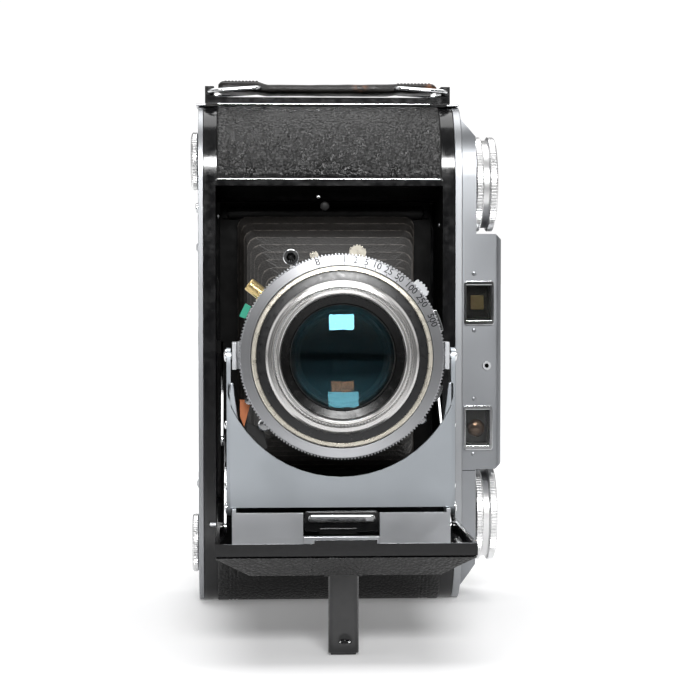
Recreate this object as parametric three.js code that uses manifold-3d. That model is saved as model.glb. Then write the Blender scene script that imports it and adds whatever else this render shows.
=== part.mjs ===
// A self-erecting 6x9 folding rangefinder camera, standing on its end with the front door open.
// Millimetres. +Z is up, the lens looks along -Y, and the top housing is at +X.
// The origin is the centre of the flat end face that the camera stands on.
import * as THREE from "three";
import { mergeVertices } from "three/addons/utils/BufferGeometryUtils.js";
import Module from "manifold-3d";

const wasm = await Module();
wasm.setup();

// ---------- driving dimensions ----------
const GAP = 0.3; // between pieces that move or are cut to fit
const SEAM = 0.15; // between flat pieces that lie on each other

const BODY_HALF = 41.2; // half the width of the cast body
const BODY_TOP = 165;
const FRONT = -20; // front plane of the body
const CAST_BACK = 14; // where the back door meets the casting
const BACK = 20; // outer face of the back door
const END_CURVE = [17, 24]; // half axes in y and z of the round front at both ends
const WALL = 1.4;

const OPENING_HALF = 37.3; // the opening that the front door closes
const OPENING_LOW = 27;
const OPENING_HIGH = 138.2;
const FLOOR_OF_CAVITY = OPENING_LOW + 0.6;

const LENS_Z = 85.6; // height of the lens axis
const LENS_Y = -97; // the axis on which the lens unit tilts
const GATE_HALF_X = 28; // 56 x 82 mm picture
const GATE_HALF_Z = 41;
const FILM_Y = 13;

const SPOOL_Y = 1.2;
const SPOOL_LOW_Z = 18.5;
const SPOOL_HIGH_Z = 147;
const CHAMBER_RADIUS = 12.4;
const CHAMBER_WALL = 0.8;
const CHAMBER_HALF = 36;

const HINGE_Y = FRONT; // front-door hinge
const HINGE_Z = OPENING_LOW;
const DOOR_LENGTH = 110.7;
const DOOR_HALF = 36.8;
const DOOR_RIM = 7.4; // height of the rim above the hinge axis
const DOOR_FACE = -1.4; // outer face below the hinge axis
const DOOR_SKIN = 1.2;
const DOOR_FLOOR = 0.9; // thickness under the folded lens
const DOOR_BEVEL = 10.7;

const BASE_PIVOT_Z = 41;
const BRACKET_HALF = 33.5;
const BRACKET_SHEET = 1.2;
const PIVOT_RADIUS = 0.75;

const BRACE_LENGTH = 44.1; // between the pivots of one brace link
const BRACE_WALL = { y: -7, z: 85 }; // pivot on the body wall
const BRACE_DOOR = { y: -78, z: 33 }; // pivot on the door rim
const BRACE_WIDTH = 4.2;
const BRACE_SHEET = 0.7;

const PLATE_OUT = 43.8; // outer face of the top flange plate
const BOTTOM_OUT = -43;
const SHELF_X = 48.5; // the housing's low parts, under the knobs
const HOUSING_OUT = 56.9;
const HOUSING_HALF_Y = 18.8;
// Heights where the housing starts, rises to its shelf and to its raised middle, and comes down again.
const HOUSING = { low: 5.4, shelfLow: 13, raisedLow: 44.8, raisedHigh: 122.5, shelfHigh: 154.6, high: 160.5 };
const HOUSING_WALL = 1.1;
const HOUSING_EDGE = 2; // radius of its long edges
const FINDER = { x0: 45.1, x1: 53.4, z0: 94, z1: 105.6 }; // the viewfinder window
const RANGE = { x0: 45.1, x1: 52.9, z0: 52.7, z1: 64.5 }; // the rangefinder window

const RING_RADIUS = 30;
const CASE_RADIUS = 27;

const TRIPOD = { y: 4, z: LENS_Z, radius: 6 };
const RELEASE = { y: -12, z: 131 }; // front-door release button

const BACK_HINGE = { y: 18.6, z: 1.6 };
const FOOT_HINGE = { y: -111.5, z: 24 };
const ROLLER_Y = 10.6;
const EYEPIECE = [50, 99]; // x and z of its centre

const STRAP_PLATE = { low: BODY_TOP + 1, high: BODY_TOP + 3, front: -7, back: 11 };
const LUG = { x: 39.3, z: BODY_TOP + 4.8, half: 1.5, bore: 0.9 };
const LOOP = { inner: 22.6, y: 2, reach: 12.4, wire: 0.7, rise: 4 }; // rise in degrees towards the middle
const STRAP = { half: 36.4, low: BODY_TOP + 4.3, high: BODY_TOP + 7.6, fold: BODY_TOP + 8.6 };

const PIN_BORE = 3.3; // for the spool pins and the take-up key
const KNOB_RADIUS = 15.9;
const WIND_Z = 139.5;
const FOCUS_Z = 28.4;

// ---------- solids ----------
function solid(geometry) {
  const g = geometry.clone();
  g.deleteAttribute("normal");
  g.deleteAttribute("uv");
  const merged = mergeVertices(g, 1e-4);
  return new wasm.Manifold(
    new wasm.Mesh({
      numProp: 3,
      vertProperties: new Float32Array(merged.attributes.position.array),
      triVerts: new Uint32Array(merged.index.array),
    }),
  );
}

function box(x0, x1, y0, y1, z0, z1) {
  const g = new THREE.BoxGeometry(x1 - x0, y1 - y0, z1 - z0);
  return solid(g.translate((x0 + x1) / 2, (y0 + y1) / 2, (z0 + z1) / 2));
}

// A box on both sides of the middle plane, from inner to outer distance in x.
function pairOfBoxes(inner, outer, y0, y1, z0, z1) {
  return box(inner, outer, y0, y1, z0, z1).add(box(-outer, -inner, y0, y1, z0, z1));
}

// A round bar along X, Y or Z from one coordinate to another, centred on the other two coordinates.
function bar(axis, from, to, radius, centre, segments = 24) {
  const g = new THREE.CylinderGeometry(radius, radius, to - from, segments);
  const middle = (from + to) / 2;
  if (axis === "x") g.rotateZ(-Math.PI / 2).translate(middle, centre[0], centre[1]);
  if (axis === "y") g.translate(centre[0], middle, centre[1]);
  if (axis === "z") g.rotateX(Math.PI / 2).translate(centre[0], centre[1], middle);
  return solid(g);
}

// A turned piece about Y: points are [radius, y], running from low y to high y on the outside.
function turned(points, segments = 48) {
  const profile = points.map(([r, y]) => new THREE.Vector2(r, y));
  return solid(new THREE.LatheGeometry(profile, segments));
}

// A flat ring about Y.
function ring(inner, outer, y0, y1, segments = 48) {
  return turned([[inner, y0], [outer, y0], [outer, y1], [inner, y1], [inner, y0]], segments);
}

// An outline in (y, z) extruded along X.
function alongX(shape, x0, x1, curveSegments = 6) {
  const g = new THREE.ExtrudeGeometry(shape, { depth: x1 - x0, bevelEnabled: false, curveSegments });
  const basis = new THREE.Matrix4().makeBasis(
    new THREE.Vector3(0, 1, 0),
    new THREE.Vector3(0, 0, 1),
    new THREE.Vector3(1, 0, 0),
  );
  return solid(g.applyMatrix4(basis).translate(x0, 0, 0));
}

// An outline in (x, z) extruded along Y.
function alongY(shape, y0, y1, curveSegments = 6) {
  const g = new THREE.ExtrudeGeometry(shape, { depth: y1 - y0, bevelEnabled: false, curveSegments });
  return solid(g.rotateX(Math.PI / 2).translate(0, y1, 0));
}

// A rectangle with one radius, or one pair of half axes, for each corner.
// The corners run from low-low over high-low and high-high to low-high.
function rounded(a0, a1, b0, b1, corners) {
  const [ll, hl, hh, lh] = corners.map((c) => (Array.isArray(c) ? c : [c, c]));
  const turn = Math.PI / 2;
  const s = new THREE.Shape();
  s.moveTo(a0 + ll[0], b0);
  s.lineTo(a1 - hl[0], b0);
  if (hl[0]) s.absellipse(a1 - hl[0], b0 + hl[1], hl[0], hl[1], -turn, 0, false, 0);
  s.lineTo(a1, b1 - hh[1]);
  if (hh[0]) s.absellipse(a1 - hh[0], b1 - hh[1], hh[0], hh[1], 0, turn, false, 0);
  s.lineTo(a0 + lh[0], b1);
  if (lh[0]) s.absellipse(a0 + lh[0], b1 - lh[1], lh[0], lh[1], turn, 2 * turn, false, 0);
  s.lineTo(a0, b0 + ll[1]);
  if (ll[0]) s.absellipse(a0 + ll[0], b0 + ll[1], ll[0], ll[1], 2 * turn, 3 * turn, false, 0);
  return s;
}

// The round front of an end, grown by a distance.
function endCurve(grow) {
  return END_CURVE.map((half) => half + grow);
}

function polygon(points) {
  return new THREE.Shape(points.map(([a, b]) => new THREE.Vector2(a, b)));
}

// ---------- materials ----------
function material(color, roughness, metalness) {
  return new THREE.MeshStandardMaterial({ color, roughness, metalness });
}
const enamel = () => material(0x0b0b0c, 0.18, 0.0);
const leather = () => material(0x141312, 0.55, 0.0);
const satin = () => material(0xb9bcbe, 0.35, 1.0);
const chrome = () => material(0xd6d8da, 0.12, 1.0);
const blackPaint = () => material(0x111111, 0.5, 0.1);
const castAlloy = () => material(0x2a2a2b, 0.5, 0.4);
const brass = () => material(0xb08a3c, 0.3, 1.0);
const clearGlass = () => material(0x27384a, 0.03, 0.0);
const redGlass = () => material(0x6a0b08, 0.08, 0.0);
const greenPlastic = () => material(0x1e6f4e, 0.4, 0.0);

// ---------- scene graph ----------
const camera = new THREE.Group();

function group(parent, x, y, z) {
  const g = new THREE.Group();
  g.position.set(x, y, z);
  parent.add(g);
  return g;
}

function place(parent, name, shape, look) {
  const { vertProperties, triVerts } = shape.getMesh();
  const g = new THREE.BufferGeometry();
  g.setAttribute("position", new THREE.BufferAttribute(vertProperties, 3));
  g.setIndex(new THREE.BufferAttribute(triVerts, 1));
  g.computeVertexNormals();
  const mesh = new THREE.Mesh(g, look);
  mesh.name = name;
  parent.add(mesh);
}

// ---------- body ----------
function spoolRound(z, radius, x0, x1) {
  return bar("x", x0, x1, radius, [SPOOL_Y, z], 32);
}

// The hollow that holds one spool: round behind, square in front, open to the back.
function chamber(spoolZ, low, high, radii) {
  const front = rounded(FRONT + WALL, CAST_BACK + 1, low, high, radii);
  const mouthLow = spoolZ - CHAMBER_RADIUS;
  const mouthHigh = spoolZ + CHAMBER_RADIUS;
  return alongX(front, -CHAMBER_HALF, CHAMBER_HALF)
    .add(spoolRound(spoolZ, CHAMBER_RADIUS, -CHAMBER_HALF, CHAMBER_HALF))
    .add(box(-CHAMBER_HALF, CHAMBER_HALF, SPOOL_Y, CAST_BACK + 1, mouthLow, mouthHigh));
}

function bodyCasting() {
  const outer = alongX(grownOutline(0), -BODY_HALF, BODY_HALF, 8);
  const inside = endCurve(-WALL);
  const lowChamber = chamber(SPOOL_LOW_Z, WALL, FLOOR_OF_CAVITY - 1, [inside, 0, 0, 1.4]);
  const highChamber = chamber(SPOOL_HIGH_Z, OPENING_HIGH + 1.2, BODY_TOP - WALL, [1.4, 0, 0, inside]);
  const wallRadius = CHAMBER_RADIUS + CHAMBER_WALL;
  const reach = OPENING_HALF + 1;
  const cavity = box(-OPENING_HALF, OPENING_HALF, FRONT - 1, CAST_BACK + 1, FLOOR_OF_CAVITY, OPENING_HIGH)
    .subtract(spoolRound(SPOOL_LOW_Z, wallRadius, -reach, reach))
    .subtract(spoolRound(SPOOL_HIGH_Z, wallRadius, -reach, reach))
    .subtract(box(-reach, reach, SPOOL_Y, CAST_BACK + 2, OPENING_LOW - 5, SPOOL_LOW_Z + wallRadius))
    .subtract(box(-reach, reach, SPOOL_Y, CAST_BACK + 2, SPOOL_HIGH_Z - wallRadius, OPENING_HIGH + 5));
  const hingeGroove = bar("x", -DOOR_HALF - 0.3, DOOR_HALF + 0.3, 1.9, [HINGE_Y, HINGE_Z], 20);
  const backKnuckles = pairOfBoxes(15, 38, CAST_BACK - 1, BACK_HINGE.y, 0.3, 1.3)
    .add(bar("x", 15, 38, 1.3, [BACK_HINGE.y, BACK_HINGE.z], 16))
    .add(bar("x", -38, -15, 1.3, [BACK_HINGE.y, BACK_HINGE.z], 16));
  let cast = outer.subtract(lowChamber).subtract(highChamber).subtract(cavity).subtract(hingeGroove);
  cast = cast.add(backKnuckles).subtract(bar("x", -50, 50, 0.75, [BACK_HINGE.y, BACK_HINGE.z], 12));
  // Bores for the door's hinge pin, the two spool pins, the take-up key and the focusing shaft.
  cast = cast.subtract(bar("x", -39.6, 39.6, 0.85, [HINGE_Y, HINGE_Z], 12));
  cast = cast.subtract(bar("x", -50, -30, PIN_BORE, [SPOOL_Y, SPOOL_LOW_Z], 20));
  cast = cast.subtract(bar("x", -50, -30, PIN_BORE, [SPOOL_Y, SPOOL_HIGH_Z], 20));
  cast = cast.subtract(bar("x", 30, 50, PIN_BORE, [SPOOL_Y, SPOOL_HIGH_Z], 20));
  cast = cast.subtract(bar("x", -42, -38.1, TRIPOD.radius + GAP, [TRIPOD.y, TRIPOD.z], 24));
  cast = cast.subtract(bar("x", -42, -38.6, 2, [RELEASE.y, RELEASE.z], 16));
  // Bosses for the brace pivots.
  const pivot = BRACE_WALL;
  const boss = pairOfBoxes(35.8, OPENING_HALF + 1, pivot.y - 2, pivot.y + 2, pivot.z - 2, pivot.z + 2);
  return cast.add(boss);
}

// The casting's outline grown by a small distance, for what is glued on it.
function grownOutline(grow) {
  const end = endCurve(grow);
  return rounded(FRONT - grow, CAST_BACK, -grow, BODY_TOP + grow, [end, 1, 1, end]);
}

const LEATHER_BACK = -7.6; // how far back the front leather wraps

function frontLeather(low, high) {
  const skin = alongX(grownOutline(0.75), -36.9, 36.9, 8).subtract(alongX(grownOutline(SEAM), -40, 40, 8));
  return skin.intersect(box(-60, 60, FRONT - 5, LEATHER_BACK, low, high));
}

function filmGate() {
  const plate = box(-36, 36, 10.9, 12.6, 32.1, 133.4);
  const rails = pairOfBoxes(GATE_HALF_X + 1.4, GATE_HALF_X + 2.8, 12.5, FILM_Y, 44, 127.2);
  const rollerOffset = GATE_HALF_Z + 3.3;
  let gate = plate.add(rails).subtract(
    box(-GATE_HALF_X, GATE_HALF_X, 5, 20, LENS_Z - GATE_HALF_Z, LENS_Z + GATE_HALF_Z),
  );
  for (const side of [-1, 1]) {
    const z = LENS_Z + side * rollerOffset;
    gate = gate.subtract(box(-33.3, 33.3, 5, 20, z - 2.2, z + 2.2));
    gate = gate.add(pairOfBoxes(33.6, 35, 8.6, 11, z - 1.6, z + 1.6));
    gate = gate.subtract(bar("x", -34.6, 34.6, 0.85, [ROLLER_Y, z], 12));
  }
  return gate;
}

function gateRoller(side) {
  const z = LENS_Z + side * (GATE_HALF_Z + 3.3);
  return bar("x", -32.9, 32.9, 1.9, [ROLLER_Y, z], 16).add(bar("x", -34.3, 34.3, 0.6, [ROLLER_Y, z], 12));
}

function sidePlate(x0, x1) {
  return alongX(rounded(FRONT, BACK, 0, BODY_TOP, [END_CURVE, 3, 3, END_CURVE]), x0, x1, 8);
}

function bottomPlate() {
  let plate = sidePlate(BOTTOM_OUT, -BODY_HALF - SEAM);
  plate = plate.subtract(bar("x", -50, -30, PIN_BORE, [SPOOL_Y, SPOOL_LOW_Z], 20));
  plate = plate.subtract(bar("x", -50, -30, PIN_BORE, [SPOOL_Y, SPOOL_HIGH_Z], 20));
  plate = plate.subtract(bar("x", -50, -30, TRIPOD.radius + GAP, [TRIPOD.y, TRIPOD.z], 24));
  plate = plate.subtract(bar("x", -50, -30, 2, [RELEASE.y, RELEASE.z], 16));
  return plate;
}

function topFlangePlate() {
  let plate = sidePlate(BODY_HALF + SEAM, PLATE_OUT);
  plate = plate.subtract(bar("x", 30, 50, PIN_BORE, [SPOOL_Y, SPOOL_HIGH_Z], 20));
  return plate;
}

// The tripod bush: a flanged tube with its mouth on the bottom plate's face.
function tripodBush() {
  const centre = [TRIPOD.y, TRIPOD.z];
  return bar("x", BOTTOM_OUT - 0.4, -38.4, TRIPOD.radius, centre, 24)
    .subtract(bar("x", BOTTOM_OUT - 1, -39, 3.1, centre, 20));
}

// The outline of the housing seen from the front, grown or shrunk by an offset.
function housingOutline(inset) {
  const h = HOUSING;
  const corner = 2;
  return polygon([
    [PLATE_OUT + SEAM, h.low + inset],
    [SHELF_X - inset, h.shelfLow + inset],
    [SHELF_X - inset, h.raisedLow + inset],
    [HOUSING_OUT - corner - inset, h.raisedLow + inset],
    [HOUSING_OUT - inset, h.raisedLow + corner + inset],
    [HOUSING_OUT - inset, h.raisedHigh - corner - inset],
    [HOUSING_OUT - corner - inset, h.raisedHigh - inset],
    [SHELF_X - inset, h.raisedHigh - inset],
    [SHELF_X - inset, h.shelfHigh - inset],
    [PLATE_OUT + SEAM, h.high - inset],
  ]);
}

// A bar along X with the round ends of the body, for the housing, inset by a distance.
function endRounding(inset) {
  const half = HOUSING_HALF_Y - inset;
  const end = endCurve(-inset);
  return alongX(rounded(-half, half, inset, BODY_TOP - inset, [end, 3, 3, end]), 40, 60, 8);
}

function topHousing() {
  const shell = alongY(housingOutline(0), -HOUSING_HALF_Y, HOUSING_HALF_Y);
  // Round the long edges of the raised part and the shelf with a profile across the depth.
  const half = HOUSING_HALF_Y;
  const edge = HOUSING_EDGE;
  const across = new THREE.Shape();
  across.moveTo(0, -half);
  across.lineTo(HOUSING_OUT - edge, -half);
  across.absarc(HOUSING_OUT - edge, -half + edge, edge, -Math.PI / 2, 0, false);
  across.absarc(HOUSING_OUT - edge, half - edge, edge, 0, Math.PI / 2, false);
  across.lineTo(0, half);
  const depth = BODY_TOP + 35;
  const limit = solid(new THREE.ExtrudeGeometry(across, { depth, bevelEnabled: false, curveSegments: 4 }));
  const inner = alongY(housingOutline(HOUSING_WALL), -half + HOUSING_WALL, half - HOUSING_WALL)
    .subtract(box(54, 60, -30, 30, 0, 200))
    .intersect(endRounding(HOUSING_WALL));
  let housing = shell.intersect(limit).intersect(endRounding(0)).subtract(inner);
  for (const w of [FINDER, RANGE]) {
    housing = housing.subtract(box(w.x0, w.x1, -25, -10, w.z0, w.z1));
  }
  housing = housing.subtract(bar("y", 10, 25, 3.1, EYEPIECE, 20));
  housing = housing.subtract(bar("x", 40, 60, 2.8, [SPOOL_Y, WIND_Z], 16));
  housing = housing.subtract(bar("x", 40, 60, 2.8, [0, FOCUS_Z], 16));
  return housing;
}

function windowFrame(w, x1) {
  const low = -HOUSING_HALF_Y - SEAM;
  const outside = alongY(rounded(44.4, x1, w.z0 - 1.6, w.z1 + 1.4, [1, 1, 1, 1]), low - 0.9, low, 3);
  return outside.subtract(box(w.x0, w.x1, -30, 0, w.z0, w.z1));
}

function windowGlass(w) {
  const y = -HOUSING_HALF_Y;
  return box(w.x0 + SEAM, w.x1 - SEAM, y - 0.5, y + 0.7, w.z0 + SEAM, w.z1 - SEAM);
}

function eyepiece() {
  const y = HOUSING_HALF_Y + SEAM;
  return bar("y", y, y + 1.5, 4.6, EYEPIECE, 24)
    .add(bar("y", y - 3, y + 0.1, 2.8, EYEPIECE, 20))
    .subtract(bar("y", y - 4, y + 2, 2.1, EYEPIECE, 20));
}

function rangefinderPrism() {
  const g = new THREE.BoxGeometry(5, 7, 7);
  return solid(g.rotateX(Math.PI / 4).translate(49.4, 0, 58.6));
}

function strapPlate() {
  const { low, high, front, back } = STRAP_PLATE;
  const width = LUG.x + LUG.half;
  const base = box(-width, width, front, back, low, high);
  const lugs = pairOfBoxes(LUG.x - LUG.half, width, front, back, high - 0.1, LUG.z + 1.8);
  return base.add(lugs)
    .subtract(bar("y", -20, 20, LUG.bore, [-LUG.x, LUG.z], 12))
    .subtract(bar("y", -20, 20, LUG.bore, [LUG.x, LUG.z], 12));
}

// A wire loop whose outer bar turns in the lug; side is -1 or +1.
function strapLoop(side) {
  const { inner, y, reach, wire, rise } = LOOP;
  const x0 = Math.min(side * inner, side * LUG.x);
  const x1 = Math.max(side * inner, side * LUG.x);
  return bar("y", y - reach, y + reach, wire, [side * LUG.x, LUG.z], 8)
    .add(bar("y", y - reach, y + reach, wire, [side * inner, LUG.z], 8))
    .add(bar("x", x0, x1, wire, [y - reach + wire, LUG.z], 8))
    .add(bar("x", x0, x1, wire, [y + reach - wire, LUG.z], 8))
    .translate([-side * LUG.x, 0, -LUG.z])
    .rotate([0, side * rise, 0])
    .translate([side * LUG.x, 0, LUG.z]);
}

// The strap: its ends are folded over the loops' inner bars, which slide in a slot when it is lifted.
function carryingStrap() {
  const { half, low, high, fold } = STRAP;
  const s = new THREE.Shape();
  s.moveTo(-half + 1, low + 0.5);
  s.lineTo(-LOOP.inner, low);
  s.lineTo(LOOP.inner, low);
  s.lineTo(half - 1, low + 0.4);
  s.quadraticCurveTo(half, low + 0.6, half, low + 1.6);
  s.quadraticCurveTo(half, high + 0.1, half - 2, high + 0.2);
  s.lineTo(LOOP.inner - 4, high);
  s.lineTo(-LOOP.inner + 3, high + 0.2);
  s.quadraticCurveTo(-LOOP.inner + 1, fold, -LOOP.inner - 1, fold);
  s.lineTo(-half + 3, fold - 0.3);
  s.quadraticCurveTo(-half, fold - 0.4, -half, low + 1.6);
  s.lineTo(-half + 1, low + 0.5);
  const rise = THREE.MathUtils.degToRad(LOOP.rise);
  const z = LUG.z + (LUG.x - LOOP.inner) * Math.sin(rise);
  const slot = LOOP.wire + 0.2;
  const slots = [-1, 1].map((side) => {
    const from = Math.min(side * LOOP.inner, side * (LOOP.inner + 2.6));
    const room = box(from, from + 2.6, -20, 20, z - slot, z + slot);
    const ends = [from, from + 2.6].map((x) => bar("y", -20, 20, slot, [x, z], 12));
    return room.add(ends[0]).add(ends[1]);
  });
  const { front, back } = STRAP_PLATE;
  return alongY(s, front, back, 5).subtract(slots[0]).subtract(slots[1]);
}

function bellows() {
  const rear = { y: 8, x: 30.2, z: 43.2, inner: 1.8 };
  const front = { y: LENS_Y + 6.2, x: 21, z: 21, inner: 1.8 };
  const frustum = (extra, shrink) => {
    const g = new THREE.BoxGeometry(2, 1, 2);
    const p = g.getAttribute("position");
    for (let i = 0; i < p.count; i++) {
      const end = p.getY(i) > 0 ? rear : front;
      const less = shrink ? end.inner : 0;
      const y = end.y + (p.getY(i) > 0 ? extra : -extra);
      p.setXYZ(i, p.getX(i) * (end.x - less), y, LENS_Z + p.getZ(i) * (end.z - less));
    }
    return solid(g);
  };
  return frustum(0, false).subtract(frustum(0.01, true));
}

function spoolPin() {
  return bar("x", -45.6, BOTTOM_OUT - GAP, 9.7, [0, 0], 32)
    .add(bar("x", BOTTOM_OUT - 1, -30, 3.0, [0, 0], 16));
}

function takeUpSpool() {
  const flange = (x0, x1) => bar("x", x0, x1, 11.9, [0, 0], 32);
  const core = bar("x", -32, 32, 5.2, [0, 0], 20);
  const spool = core.add(flange(-32.6, -31.6)).add(flange(31.6, 32.6));
  const bores = bar("x", -40, -29, PIN_BORE, [0, 0], 16).add(bar("x", 29, 40, PIN_BORE, [0, 0], 16));
  return spool.subtract(bores);
}

// A small gear about X with its first tooth towards an angle from +Z.
function gear(x0, x1, teeth, root, tip, turn) {
  const s = new THREE.Shape();
  for (let i = 0; i < teeth; i++) {
    const middle = Math.PI / 2 + turn + (i * 2 * Math.PI) / teeth;
    const pitch = (2 * Math.PI) / teeth;
    for (const [r, f] of [[root, -0.27], [tip, -0.1], [tip, 0.1], [root, 0.27]]) {
      const a = middle + f * pitch;
      if (i === 0 && f === -0.27) s.moveTo(r * Math.cos(a), r * Math.sin(a));
      else s.lineTo(r * Math.cos(a), r * Math.sin(a));
    }
  }
  return alongX(s, x0, x1);
}

const GEAR_TEETH = 12;
const GEAR_PITCH = (SPOOL_HIGH_Z - WIND_Z) / 2;

function takeUpKey() {
  const shaft = bar("x", 29.6, 47, 2.9, [0, 0], 16);
  return shaft.add(gear(45, 47, GEAR_TEETH, GEAR_PITCH - 0.6, GEAR_PITCH + 0.35, Math.PI / GEAR_TEETH));
}

// A knob of two knurled discs with a plain groove between them, seen from its shaft side.
function knob(shaftFrom) {
  return bar("x", 49, 51.6, KNOB_RADIUS, [0, 0], 40)
    .add(bar("x", 51.5, 53.7, KNOB_RADIUS - 1.2, [0, 0], 40))
    .add(bar("x", 53.6, 56.4, KNOB_RADIUS, [0, 0], 40))
    .add(bar("x", shaftFrom, 49.1, 2.4, [0, 0], 16));
}

function buildBody() {
  place(camera, "body_casting", bodyCasting(), castAlloy());
  place(camera, "front_leather_upper", frontLeather(139.2, 166), leather());
  place(camera, "front_leather_lower", frontLeather(0.9, 24.2), leather());
  place(camera, "film_gate", filmGate(), blackPaint());
  place(camera, "gate_roller_upper", gateRoller(1), satin());
  place(camera, "gate_roller_lower", gateRoller(-1), satin());
  place(camera, "bottom_plate", bottomPlate(), satin());
  place(camera, "top_flange_plate", topFlangePlate(), satin());
  place(camera, "tripod_bush", tripodBush(), satin());
  place(camera, "top_housing", topHousing(), satin());
  place(camera, "viewfinder_frame", windowFrame(FINDER, 54.3), chrome());
  place(camera, "viewfinder_glass", windowGlass(FINDER), clearGlass());
  place(camera, "rangefinder_frame", windowFrame(RANGE, 53.9), chrome());
  place(camera, "rangefinder_glass", windowGlass(RANGE), clearGlass());
  place(camera, "eyepiece", eyepiece(), blackPaint());
  place(camera, "rangefinder_prism", rangefinderPrism(), clearGlass());
  const endPlate = box(-43.8, 43.8, -6.5, 12, BODY_TOP + SEAM, BODY_TOP + 0.8);
  place(camera, "end_plate", endPlate, satin());
  place(camera, "strap_plate", strapPlate(), enamel());
  place(camera, "front_hinge_pin", bar("x", -39.3, 39.3, 0.7, [HINGE_Y, HINGE_Z], 12), satin());
  place(camera, "back_hinge_pin", bar("x", -38, 38, 0.6, [BACK_HINGE.y, BACK_HINGE.z], 12), satin());
  place(camera, "bellows", bellows(), leather());
  place(camera, "strap_loop_left", strapLoop(-1), chrome());
  place(camera, "strap_loop_right", strapLoop(1), chrome());
  place(camera, "carrying_strap", carryingStrap(), leather());
  const release = bar("x", BOTTOM_OUT - 0.9, BOTTOM_OUT + 2, 1.6, [RELEASE.y, RELEASE.z], 16);
  place(camera, "door_release_button", release, satin());
  place(group(camera, 0, SPOOL_Y, SPOOL_HIGH_Z), "spool_pin_upper", spoolPin(), satin());
  place(group(camera, 0, SPOOL_Y, SPOOL_LOW_Z), "spool_pin_lower", spoolPin(), satin());
  const takeUp = group(camera, 0, SPOOL_Y, SPOOL_HIGH_Z);
  place(takeUp, "take_up_spool", takeUpSpool(), castAlloy());
  place(takeUp, "take_up_key", takeUpKey(), satin());
  const windKnob = knob(44.6).add(gear(45, 47, GEAR_TEETH, GEAR_PITCH - 0.6, GEAR_PITCH + 0.35, 0));
  place(group(camera, 0, SPOOL_Y, WIND_Z), "wind_knob", windKnob, satin());
  place(group(camera, 0, 0, FOCUS_Z), "focus_knob", knob(44.2), satin());
}

// ---------- back door ----------
const BACK_IN = CAST_BACK + 0.2;
const RED_WINDOW = { x: -9, z: 60, radius: 5 };

function backDoorShell() {
  const half = BODY_HALF - 0.2;
  const outer = alongX(rounded(BACK_IN, BACK - 0.6, 3.3, 163.6, [0, 5, 5, 0]), -half, half);
  const inner = alongX(rounded(BACK_IN - 2, BACK - 1.8, 4.5, 162.4, [0, 4, 4, 0]), -half + 1.2, half - 1.2);
  const window = bar("y", 10, 30, RED_WINDOW.radius, [RED_WINDOW.x, RED_WINDOW.z], 24);
  const knuckle = bar("x", -14.7, 14.7, 1.3, [BACK_HINGE.y, BACK_HINGE.z], 16)
    .add(box(-14.7, 14.7, 17.6, BACK - 0.6, 1.6, 6))
    .subtract(bar("x", -20, 20, 0.75, [BACK_HINGE.y, BACK_HINGE.z], 12));
  return outer.subtract(inner).subtract(window).add(knuckle);
}

function backLeather() {
  const y = BACK - 0.6 + SEAM;
  const sheet = alongY(rounded(-38.8, 38.8, 9.6, 157.4, [3, 3, 3, 3]), y, y + 0.6, 4);
  return sheet
    .subtract(bar("y", 10, 30, RED_WINDOW.radius + 0.8, [RED_WINDOW.x, RED_WINDOW.z], 24))
    .subtract(box(-8.5, 8.5, 10, 30, 144, 158))
    .subtract(box(RED_WINDOW.x - 8.5, RED_WINDOW.x + 25.5, 10, 30, RED_WINDOW.z - 9, RED_WINDOW.z + 9));
}

function buildBackDoor() {
  place(camera, "back_door_shell", backDoorShell(), enamel());
  place(camera, "back_leather", backLeather(), leather());
  const y = BACK - 0.6;
  const glass = bar("y", y - 1.1, y - 0.1, RED_WINDOW.radius - SEAM, [RED_WINDOW.x, RED_WINDOW.z], 24);
  place(camera, "red_window", glass, redGlass());
  const cover = alongY(
    rounded(RED_WINDOW.x - 7.6, RED_WINDOW.x + 7.6, RED_WINDOW.z - 7.6, RED_WINDOW.z + 7.6, [2, 2, 2, 2]),
    y + 0.2,
    y + 1.0,
    3,
  );
  const ridge = box(-1, 1, y + 0.9, y + 1.7, -5, 5).translate([RED_WINDOW.x, 0, RED_WINDOW.z]);
  place(camera, "window_cover", cover.add(ridge), satin());
  const latch = box(-7, 7, y + 0.2, y + 1.2, 148.5, 157).add(box(-5, 5, y + 1.1, y + 2.2, 150, 151.4));
  place(camera, "back_latch", latch, satin());
  place(camera, "pressure_plate", box(-33.5, 33.5, FILM_Y + 0.35, FILM_Y + 1.35, 38, 133), blackPaint());
}

// ---------- front door ----------
// Inside a group at the hinge, y runs back towards the body and z is the height above the hinge axis.
function doorForm(side, low, high, halfTop, bevelTop, slope, length) {
  const cross = polygon([
    [-halfTop + slope, low],
    [halfTop - slope, low],
    [halfTop, bevelTop],
    [halfTop, high],
    [-halfTop, high],
    [-halfTop, bevelTop],
  ]);
  const along = polygon([
    [-side, low],
    [-side, high],
    [-length, high],
    [-length, bevelTop],
    [-length + slope * 0.62, low],
  ].reverse());
  return alongY(cross, -length - 1, 1).intersect(alongX(along, -60, 60));
}

const DOOR_BEVEL_TOP = 4;

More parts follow.
